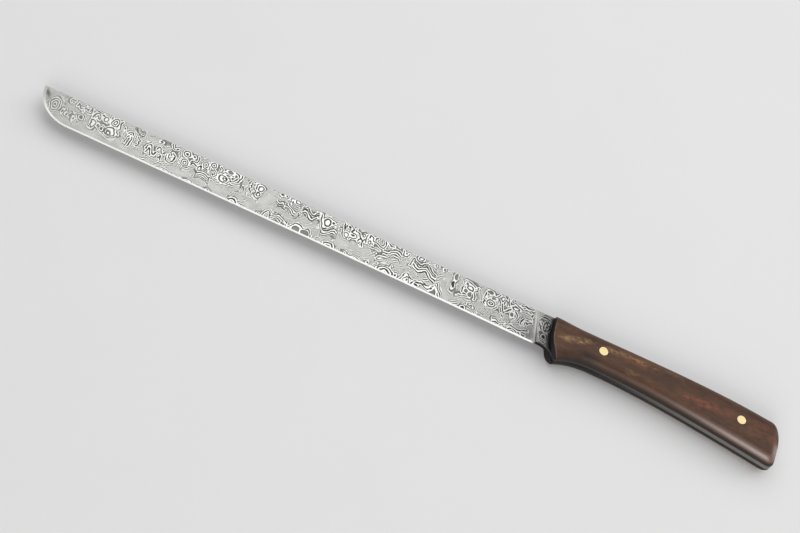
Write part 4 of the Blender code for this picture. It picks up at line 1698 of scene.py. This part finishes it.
    rings: tuple = tuple(Rings(*row) for row in (
        (9.0, 8.4, 3.0, 4.6, 2.5, 0.12), (17.0, 2.4, 1.1, 0.9, 0.5, 0.3),
        (24.1, 9.2, 2.4, 2.8, 1.5, 0.32), (14.0, 10.6, 0.8, 1.9, 0.5, 0.3),
        (20.4, 12.0, 0.7, 1.5, 0.5, 0.2), (31.0, 9.6, 1.8, 3.6, 1.0, 0.4),
        (29.7, 12.3, 0.9, 0.9, 0.5, 0.2), (36.5, 3.9, 1.7, 2.1, 1.0, 0.4),
        (34.7, 2.3, 1.1, 0.8, 0.5, 0.4), (33.8, 9.3, 0.8, 1.3, 0.5, 0.3),
        (41.0, 10.0, 3.3, 3.6, 1.0, 0.6), (36.4, 10.3, 2.0, 2.6, 1.5, 0.3),
        (40.5, 10.9, 1.6, 1.6, 1.0, 0.2), (42.0, 3.4, 2.6, 3.2, 2.0, 0.12),
        (47.7, 4.3, 0.7, 1.3, 0.5, 0.2), (51.7, 5.9, 1.0, 0.9, 0.5, 0.3), (68.4, 2.0, 1.4, 0.9, 0.5, 0.3),
        (23.9, 5.2, 0.8, 0.6, 0.5, 0.2), (83.2, 2.4, 2.6, 2.3, 1.5, 0.2),
        (83.6, 8.0, 2.5, 2.6, 2.0, 0.15), (87.2, 2.4, 0.8, 1.0, 0.5, 0.3),
        (94.3, 4.0, 1.8, 2.4, 2.0, 0.1), (98.5, 2.0, 2.1, 2.0, 1.5, 0.2),
        (99.7, 6.7, 2.7, 3.2, 2.0, 0.15, 0, True), (105.5, 7.3, 3.0, 2.8, 1.0, 0.42),
        (106.2, 7.2, 1.2, 1.0, 1.0, 0.3), (108.2, 1.6, 2.3, 1.1, 0.5, 0.55),
        (107.7, 4.2, 1.8, 0.9, 0.5, 0.45, 10), (116.9, 7.4, 0.8, 1.5, 1.0, 0.3),
        (126.4, 3.2, 2.0, 2.5, 1.0, 0.4), (126.0, 6.9, 1.6, 2.0, 1.0, 0.3),
        (138.3, 0.8, 1.4, 1.0, 0.5, 0.4), (140.8, 0.7, 0.9, 0.7, 0.5, 0.3),
        (147.5, 1.0, 1.9, 1.6, 1.0, 0.35), (114.8, 18.2, 3.0, 3.2, 1.5, 0.1),
        (143.9, 17.2, 1.7, 1.2, 0.5, 0.5), (88.8, 17.9, 1.8, 0.7, 0.5, 0.3),
        (75.6, 18.0, 1.6, 0.7, 0.5, 0.3), (100.4, 17.8, 0.9, 0.7, 0.5, 0.3),
        (130.0, 17.4, 0.9, 0.8, 0.5, 0.3), (144.6, 2.4, 0.8, 1.4, 0.5, 0.2),
        (151.7, 17.0, 2.6, 2.7, 0.5, 0.66), (157.0, 17.0, 2.8, 2.5, 0.5, 0.66),
        (166.2, 5.0, 2.5, 3.1, 1.0, 0.34), (169.5, 3.7, 1.4, 1.3, 0.5, 0.4),
        (178.2, 1.5, 1.5, 0.9, 0.5, 0.4), (181.2, 5.6, 1.7, 0.9, 0.5, 0.4),
        (177.8, 7.0, 1.8, 2.0, 1.0, 0.4), (187.0, 2.7, 0.9, 1.6, 1.0, 0.3),
        (191.0, 5.2, 1.1, 1.6, 1.0, 0.3), (192.8, 5.4, 0.7, 1.3, 0.5, 0.3),
        (195.0, 9.8, 1.7, 1.1, 1.0, 0.3), (212.0, 1.9, 1.0, 1.1, 0.5, 0.3),
        (171.0, 18.5, 3.5, 3.2, 1.5, 0.25), (180.8, 18.0, 1.6, 2.1, 1.5, 0.2),
        (204.2, 18.6, 5.4, 4.4, 2.5, 0.12), (217.0, 16.9, 0.9, 1.4, 0.5, 0.4),
        (222.4, 17.2, 1.6, 1.0, 0.5, 0.4), (220.6, 1.0, 2.2, 1.3, 1.0, 0.35),
        (210.2, 17.4, 1.0, 1.4, 0.5, 0.3), (193.9, 17.0, 1.0, 1.2, 0.5, 0.3),
        (206.6, 13.2, 0.7, 0.6, 0.5, 0.2), (232.5, 18.6, 3.0, 5.4, 0.5, 0.62, 0, True),
        (230.0, 0.9, 1.5, 1.1, 1.0, 0.35), (234.2, 1.3, 1.1, 1.1, 0.5, 0.5),
        (241.7, 2.1, 1.2, 2.6, 0.5, 0.5), (241.2, 7.2, 1.1, 3.0, 0.5, 0.42),
        (248.4, 3.2, 1.2, 1.1, 0.5, 0.45), (251.0, 5.0, 2.3, 1.8, 1.0, 0.3),
        (248.8, 7.7, 1.6, 1.3, 0.5, 0.5), (251.6, 8.7, 1.3, 2.2, 0.5, 0.5),
        (262.1, 2.1, 2.3, 1.3, 0.5, 0.55), (264.9, 4.8, 1.9, 1.1, 0.5, 0.5),
        (264.0, 8.3, 3.0, 2.5, 2.0, 0.08), (269.8, 2.7, 1.2, 2.1, 1.0, 0.4),
        (277.0, 9.3, 1.5, 1.9, 0.5, 0.45), (278.1, 4.9, 2.9, 1.6, 1.0, 0.35),
        (271.9, 12.4, 0.8, 1.0, 0.5, 0.4), (286.2, 18.3, 1.5, 1.0, 0.5, 0.5),
        (250.3, 18.0, 2.7, 2.3, 1.5, 0.3), (254.5, 15.0, 0.8, 0.8, 0.5, 0.4),
        (283.6, 17.9, 0.9, 0.8, 0.5, 0.3), (288.0, 4.8, 0.8, 1.3, 0.5, 0.3),
        (297.2, 7.6, 2.5, 4.1, 1.5, 0.1, 6), (297.9, 5.8, 1.3, 1.5, 1.0, 0.2, -15),
        (296.4, 9.6, 1.5, 1.0, 1.0, 0.2, 25), (294.9, 12.4, 1.9, 1.5, 0.5, 0.62, 30),
        (297.0, 14.3, 2.4, 2.6, 1.5, 0.3, 20),
    ))
    calms: tuple = tuple(Oval(*row) for row in (
        (5.0, 3.0, 3.0, 3.4), (30.0, 15.8, 21.0, 2.4), (51.0, 15.0, 9.0, 4.0), (94.0, 15.2, 17.0, 3.0),
        (130.0, 8.0, 2.8, 8.0), (127.0, 15.0, 4.6, 3.0), (179.6, 11.6, 5.6, 3.0), (204.0, 13.0, 7.0, 1.8),
        (238.2, 9.0, 2.0, 9.0), (256.0, 12.6, 13.0, 1.6), (60.6, 13.0, 2.0, 3.0), (188.0, 10.0, 1.6, 3.0),
        (214.0, 8.0, 1.0, 4.0), (242.0, 14.0, 4.0, 2.6), (289.0, 16.0, 3.0, 4.0),
    ))
    seed: int = 11
    bends: int = 16
    bend: float = 0.019
    bend_spans: tuple = (2.0, 6.0)
    ripples: int = 34
    ripple: float = 0.045
    ripple_spans: tuple = (3.0, 14.0)
    ripple_from: tuple = (0.9, 3.1)
    squash: float = 1.3
    pitch: float = 1.0
    line: float = 0.09
    reach: float = 4.0
    faint: float = 0.34
    calmed: float = 0.9
    bold_to: float = 0.7
    stack_from: tuple = (0.8, 1.3)
    stack_least: float = 0.05
    stack_gain: float = 1.35
    core_paler: float = 0.38
    plunge: tuple = (289.5, 0.22)
    plunge_plain: tuple = (0.9, 1.8)
    point_share: float = 0.6
    point_faded: tuple = (15.0, 60.0)

    def wave(self, draw: np.random.Generator, x: np.ndarray, y: np.ndarray, spans: tuple) -> np.ndarray:
        """One even wave whose length, heading and start are drawn, as high as it is long.

        Args:
            draw: Where the draws come from.
            x: Distance from the point.
            y: Depth below the spine.
            spans: Shortest and longest length.

        Returns:
            Its height at each place.
        """
        span = draw.uniform(*spans)
        heading, start = draw.uniform(0.0, math.tau), draw.uniform(0.0, math.tau)
        along = x * math.cos(heading) + self.squash * y * math.sin(heading)
        return span * np.cos(along * math.tau / span + start)

    def bent(self, x: np.ndarray, y: np.ndarray) -> tuple[np.ndarray, np.ndarray]:
        """Places moved a little by the sum of short waves, so that no line is quite even.

        Args:
            x: Distance from the point.
            y: Depth below the spine.

        Returns:
            The same of the moved places.
        """
        draw = np.random.default_rng(self.seed)
        moved_x, moved_y = x.copy(), y.copy()
        for _ in range(self.bends):
            bend = self.bend * self.wave(draw, x, y, self.bend_spans)
            way = draw.uniform(0.0, math.tau)
            moved_x += bend * math.cos(way)
            moved_y += bend * math.sin(way)
        return moved_x, moved_y

    def distance(self, x: np.ndarray, y: np.ndarray) -> np.ndarray:
        """Distance to the nearest strand, or to half a pitch inside the nearest eye's or folds' border.

        Args:
            x: Distance from the point.
            y: Depth below the spine.

        Returns:
            The distance, held at twice the reach of a strand.
        """
        far = np.full_like(x, 2 * self.reach)
        for strand in self.strands:
            along = [point[0] for point in strand.points]
            near = (x > min(along) - self.reach) & (x < max(along) + self.reach)
            far[near] = np.minimum(far[near], strand.distance(x[near], y[near]))
        for area in self.rings + self.folds:
            far = np.minimum(far, area.beyond(x, y) + self.pitch / 2 + self.line)
        return far

    def field(self, x: np.ndarray, y: np.ndarray) -> tuple[np.ndarray, np.ndarray]:
        """Layer number, where each whole number is a dark line, and how clearly the lines show.

        Lines nest round the strands, folds and eyes at an even pitch, and fade with the distance. The
        stacks lie over them, then the folds and then the eyes.

        Args:
            x: Distance from the point.
            y: Depth below the spine.

        Returns:
            The layer and its clearness from 0 to 1.
        """
        x, y = self.bent(x, y)
        far = self.distance(x, y)
        draw = np.random.default_rng(self.seed + 1)
        ripples = sum(self.wave(draw, x, y, self.ripple_spans) for _ in range(self.ripples))
        layer = np.maximum(far - self.line, 0.0) / self.pitch
        layer = layer + self.ripple * ripples * fade_in(far, *self.ripple_from)
        calm = np.max([oval.cover(x, y) for oval in self.calms], axis=0)
        faint = self.faint * (1.0 - self.calmed * calm)
        clear = blend(faint, 1.0, np.exp(-np.maximum(far - self.bold_to, 0.0)))
        for stack in self.stacks:
            cover = stack.cover(x, y) * fade_in(far, *self.stack_from)
            layer = np.where(cover > self.stack_least, stack.layer(x, y), layer)
            clear = blend(clear, min(1.0, self.stack_gain * stack.show), cover)
        for area in self.folds + self.rings:
            inside = area.beyond(x, y) <= 0.0
            layer = np.where(inside, area.layer(x, y), layer)
            clear = np.where(inside, 1.0, clear)
            if isinstance(area, Rings):
                clear = clear - self.core_paler * area.filled(x, y)
        return layer, np.clip(clear, 0.0, 1.0)

    def mark(self, mesh: bpy.types.Mesh) -> None:
        """Write the layer and its clearness to each point of a mesh, plain along the plunge.

        Args:
            mesh: The mesh.
        """
        own = own_places(mesh) / MM
        layer, clear = self.field(own[:, 0], -own[:, 1])
        start, lean = self.plunge
        clear *= fade_in(np.abs(own[:, 0] - start + own[:, 1] * lean), *self.plunge_plain)
        clear *= blend(self.point_share, 1.0, fade_in(own[:, 0], *self.point_faded))
        write_marks(mesh, "layer", layer)
        write_marks(mesh, "figure", clear)


# The blade


@dataclass(frozen=True)
class Blade:
    """Blade, ricasso and tang, forged and ground from one piece of layered steel."""

    outline: HandleOutline
    pins: tuple
    figure: SteelFigure = SteelFigure()
    depth_at_point: float = 18.6 * MM
    depth_at_heel: float = 19.9 * MM
    sweep: float = 19.5 * MM
    spine_at_point: float = 1.1 * MM
    spine_at_heel: float = 2.8 * MM
    behind_edge: float = 0.55 * MM
    sharpening: float = math.radians(19.0)
    stock: float = 3.0 * MM
    ricasso_length: float = 10.2 * MM
    ricasso_depth: float = 18.7 * MM
    plunge_length: float = 1.5 * MM
    plunge_lean: float = math.radians(13.0)
    choil_level: float = 0.62
    choil_fall: float = 0.3
    spur_angle: float = math.radians(50.0)
    easing: float = 0.22 * MM
    crispness: float = 0.02 * MM
    # Width of the painted shadow of the scales' front on the steel.
    painted_scale_shadow: float = 2.6 * MM
    pitch: float = 0.48 * MM
    tang_pitch: float = 1.5 * MM
    tang_corner_steps: int = 14
    point_steps: int = 56
    plunge_steps: int = 10
    choil_steps: int = 26
    side_steps: int = 42
    corner_steps: int = 6
    bevel_steps: int = 4
    bevel_rounds: int = 4
    crease: float = 14.5

    @property
    def ricasso_front(self) -> float:
        """Where the full stock begins, at the spine."""
        return self.outline.front - self.ricasso_length

    @property
    def grind_end(self) -> float:
        """Where the grind ends, at the spine."""
        return self.ricasso_front - self.plunge_length

    def depth(self, x: np.ndarray) -> np.ndarray:
        """Depth of the blade, swelling with the cube of the way to the heel."""
        share = np.clip((x - self.sweep) / (self.grind_end - self.sweep), 0.0, 1.0)
        return blend(self.depth_at_point, self.depth_at_heel, share**3)

    def half(self, points: np.ndarray) -> np.ndarray:
        """Half thickness of the flat-ground blade at points of its side."""
        spine = blend(self.spine_at_point, self.spine_at_heel, points[..., 0] / self.grind_end) / 2
        return blend(spine, self.behind_edge / 2, -points[..., 1] / self.depth(points[..., 0]))

    def shoulders(self, edge: np.ndarray, inward: np.ndarray) -> np.ndarray:
        """Points where the sharpened bevel meets the side, found by a few rounds of its width.

        Args:
            edge: Points of the edge, one row each.
            inward: Direction from each to the side.

        Returns:
            One row each.
        """
        width = np.full((len(edge), 1), self.behind_edge / 2 / math.tan(self.sharpening))
        for _ in range(self.bevel_rounds):
            points = edge + inward * width
            width = self.half(points)[:, None] / math.tan(self.sharpening)
        return points

    def ground(self) -> tuple[np.ndarray, np.ndarray, np.ndarray]:
        """Outlines of the ground blade, from its point to the plunge.

        Returns:
            Points of the spine, of the shoulder and of the edge, one row each.
        """
        turn = quarter(self.point_steps)
        edge = np.stack([self.sweep * (1 - np.cos(turn)), -self.depth_at_point * np.sin(turn)], axis=1)
        inward = unit(np.stack([self.depth_at_point * np.cos(turn), self.sweep * np.sin(turn)], axis=1))
        shoulder = self.shoulders(edge, inward)
        first = blend(shoulder[0, 0], self.sweep, np.linspace(0.0, 1.0, self.point_steps + 1))
        heel = self.grind_end + self.depth_at_heel * math.tan(self.plunge_lean)
        steps = int((self.grind_end - self.sweep) / self.pitch)
        x = steps_between(self.sweep, heel, steps)
        low = np.stack([x, -self.depth(x)], axis=1)
        top = np.concatenate([first, steps_between(self.sweep, self.grind_end, steps)])
        shoulder = np.concatenate([shoulder, self.shoulders(low, np.array([[0.0, 1.0]]))])
        return np.stack([top, 0 * top], axis=1), shoulder, np.concatenate([edge, low])

    def choil(self) -> np.ndarray:
        """Lower side of the ricasso, level and then falling to the spur.

        Returns:
            Points along it, one row each.
        """
        lean = self.ricasso_depth * math.tan(self.plunge_lean)
        start = np.array([self.ricasso_front + lean, -self.ricasso_depth])
        end = np.array([self.outline.front + self.outline.spur_from_front, -self.outline.spur_depth])
        run = end[0] - start[0]
        level = start + (run * self.choil_level, 0.0)
        way = np.array([-math.cos(self.spur_angle), math.sin(self.spur_angle)])
        fall = end + run * self.choil_fall * way
        return bezier((start, level, fall, end), np.linspace(0.0, 1.0, self.choil_steps + 1))

    def corners(self) -> tuple[np.ndarray, ...]:
        """Corners of each half section in space, where the plunge eases the thin blade into the stock.

        Returns:
            Middle of the spine, corner at the spine, shoulder and edge, one row for each section.
        """
        spine, shoulder, edge = self.ground()
        thin = [np.column_stack([line, self.half(line)]) for line in (spine, shoulder)]
        thin.append(np.column_stack([edge, np.zeros(len(edge))]))
        choil = self.choil()
        first = np.linspace(self.ricasso_front, self.outline.front, len(choil))
        upper, lower = self.outline.stations(self.tang_pitch, self.tang_corner_steps)
        top = np.concatenate([np.stack([first, 0 * first], axis=1), upper[1:]])
        low = np.concatenate([choil, lower[1:]])
        half = np.full(len(top), self.stock / 2)
        thick = [np.column_stack(pair) for pair in ((top, half), (low, half), (low, 0 * half))]
        turn = quarter(self.plunge_steps)[1:-1, None]
        joined = []
        for before, after in zip(thin, thick):
            plan = blend(before[-1:, :2], after[:1, :2], np.sin(turn))
            height = blend(before[-1:, 2:], after[:1, 2:], 1 - np.cos(turn))
            joined.append(np.concatenate([before, np.column_stack([plan, height]), after]))
        return joined[0] * (1, 1, 0), *joined

    def build(self) -> bpy.types.Object:
        """Half sections from the spine over the side to the edge, mirrored to the other side.

        Returns:
            The blade and tang.
        """
        middle, spine, shoulder, edge = self.corners()
        half = self.stock / 2
        full = shoulder[:, 2:] >= half - MERGED
        upper = eased(middle, spine, shoulder, np.full((len(spine), 1), self.easing), self.corner_steps)
        soft = np.where(full, self.easing, self.crispness)
        lower = eased(spine, shoulder, edge, soft, self.corner_steps)
        parts = [middle[:, None], upper, straight(upper[:, -1], lower[:, 0], self.side_steps), lower]
        parts += [straight(lower[:, -1], edge, self.bevel_steps), edge[:, None]]
        points = np.concatenate(parts, axis=1)
        flat, height = points[..., :2], points[..., 2]
        rows, columns = flat.shape[0] - 1, flat.shape[1] - 1
        finish = np.full((rows, columns), Face.ETCHED)
        finish[:, : 1 + self.corner_steps // 2] = Face.EDGE
        below = columns - self.bevel_steps - self.corner_steps // 2
        finish[:, below:] = np.where(full[1:], Face.EDGE, Face.BEVEL)
        sides = [
            Side(height * side, lambda plan, side=side: np.full(plan.shape[:-1], half * side))
            for side in (1.0, -1.0)
        ]
        skin = slab(flat, sides, [pin.hole(0.0) for pin in self.pins], finish, border=Face.EDGE)
        mesh = skin.mesh("blade_and_tang", self.crease)
        self.figure.mark(mesh)
        own = own_places(mesh)
        # Painted shadow of the scales' front on the steel, fading out over that width.
        write_marks(mesh, "painted_scale_shadow", fade_in(self.outline.front_at(own[:, 1]) - own[:, 0], self.painted_scale_shadow, 0.0))
        finishes = [kind.value.material() for kind in (Finish.ETCHED, Finish.BEVEL, Finish.EDGE)]
        piece = dressed("layered_steel_blade", mesh, finishes)
        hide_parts("blade_and_tang")
        return piece


# The studio


@dataclass(frozen=True)
class Softbox:
    """Evenly bright rectangle that shines on the knife."""

    name: str
    direction: tuple
    distance: float
    width: float
    height: float
    radiance: float
    target: tuple = (0.0, 0.0, 0.0)

    def build(self) -> bpy.types.Object:
        """Area lamp whose power is its radiance times its area times pi.

        Returns:
            The lamp.
        """
        lamp = bpy.data.lights.new(self.name, "AREA")
        lamp.shape = "RECTANGLE"
        lamp.size = self.width
        lamp.size_y = self.height
        lamp.energy = self.radiance * self.width * self.height * math.pi
        box = linked(self.name, lamp)
        away = Vector(self.direction).normalized()
        box.location = Vector(self.target) + away * self.distance
        box.rotation_euler = away.to_track_quat("Z", "Y").to_euler()
        return box


@dataclass(frozen=True)
class Studio:
    """Pale floor, soft light and the camera at the photograph's viewing angle."""

    lens: float = 100.0
    sensor: float = 36.0
    tilt: float = math.radians(34.206)
    turn: float = math.radians(9.347)
    roll: float = math.radians(32.412)
    aim: tuple = (211.086 * MM, -10.556 * MM, 0.0)
    distance: float = 1191.212 * MM
    surround: float = 0.36
    floor_half: float = 4.0
    floor_steps: int = 8
    softboxes: tuple = (
        Softbox("spine_side_softbox", (0.10, 0.40, 0.90), 1.3, 2.4, 1.8, 0.95),
        Softbox("edge_side_strip", (0.35, -0.80, 0.52), 1.2, 0.9, 0.22, 0.8, (0.15, 0.0, 0.0)),
        Softbox("camera_side_window", (-0.10, -0.86, 0.53), 3.2, 1.7, 1.7, 3.6, (0.20, -0.01, 0.0)),
        Softbox("butt_side_softbox", (0.72, 0.50, 0.42), 2.4, 1.2, 0.9, 2.4, (0.20, -0.02, 0.0)),
    )

    def camera(self) -> bpy.types.Object:
        """Camera set by its tilt, its turn about Z and its roll, and aimed at a point of the knife.

        Returns:
            The camera.
        """
        sine, cosine = math.sin(self.tilt), math.cos(self.tilt)
        back = Vector((-sine * math.sin(self.turn), -sine * math.cos(self.turn), cosine))
        level = Vector((math.cos(self.turn), -math.sin(self.turn), 0.0))
        steep = back.cross(level)
        right = math.cos(self.roll) * level + math.sin(self.roll) * steep
        above = math.cos(self.roll) * steep - math.sin(self.roll) * level
        data = bpy.data.cameras.new("photo_view")
        data.lens = self.lens
        data.sensor_width = self.sensor
        camera = linked("photo_view", data)
        spot = Vector(carried(np.array(self.aim))) + back * self.distance
        turned = Matrix((right, above, back)).transposed().to_4x4()
        camera.matrix_world = Matrix.Translation(spot) @ turned
        bpy.context.scene.camera = camera
        return camera

    def floor(self) -> bpy.types.Object:
        """Level board under the knife, far wider than the view.

        Returns:
            The board.
        """
        reach = np.linspace(-self.floor_half, self.floor_half, self.floor_steps + 1)
        x, y = np.meshgrid(reach, reach, indexing="ij")
        points = np.stack([x, y, 0 * x], axis=-1)
        skin = Skin()
        skin.cover(skin.grid(points))
        mesh = skin.raw("floor", points.reshape(-1, 3))
        mesh.materials.append(PaleBoard().material())
        board = linked("floor", mesh)
        board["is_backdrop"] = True
        return board

    def world(self) -> None:
        """Even surround of one grey."""
        world = bpy.data.worlds.new("surround")
        world.use_nodes = True
        background = world.node_tree.nodes["Background"]
        background.inputs["Color"].default_value = (1.0, 1.0, 1.0, 1.0)
        background.inputs["Strength"].default_value = self.surround
        bpy.context.scene.world = world

    def build(self) -> None:
        """Set up the view, the floor and the light."""
        bpy.context.scene.view_settings.view_transform = "Standard"
        self.camera()
        self.floor()
        self.world()
        for softbox in self.softboxes:
            softbox.build()


@dataclass(frozen=True)
class HamKnife:
    """The whole knife."""

    outline: HandleOutline = HandleOutline()
    pins: tuple = (Pin("front_brass_pin", "front_pin"), Pin("rear_brass_pin", "rear_pin"))

    def build(self) -> None:
        """Make the steel, the scales, the glue and the pins in the order they are put together."""
        Blade(self.outline, self.pins).build()
        wood = Finish.WOOD.value.material()
        glue = Finish.GLUE.value.material()
        for hand, side in (("left", 1.0), ("right", -1.0)):
            GlueFilm(f"{hand}_epoxy_film", side, self.outline, self.pins).build(glue)
            Scale(f"{hand}_wooden_scale", f"{hand}_scale", side, self.outline, self.pins).build(wood)
        for pin in self.pins:
            pin.build()


def write_boxes() -> None:
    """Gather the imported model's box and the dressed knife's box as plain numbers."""
    boxes = {"cad": PACKED_BOX, "visual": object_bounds()}
    plain = {name: [[float(value) for value in corner] for corner in box] for name, box in boxes.items()}


def main() -> None:
    """Build the studio and the knife, and work out how large the knife came out."""
    logging.basicConfig(level=logging.INFO, format="%(name)s: %(message)s")
    Studio().build()
    HamKnife().build()
    write_boxes()


if __name__ == "__main__":
    main()
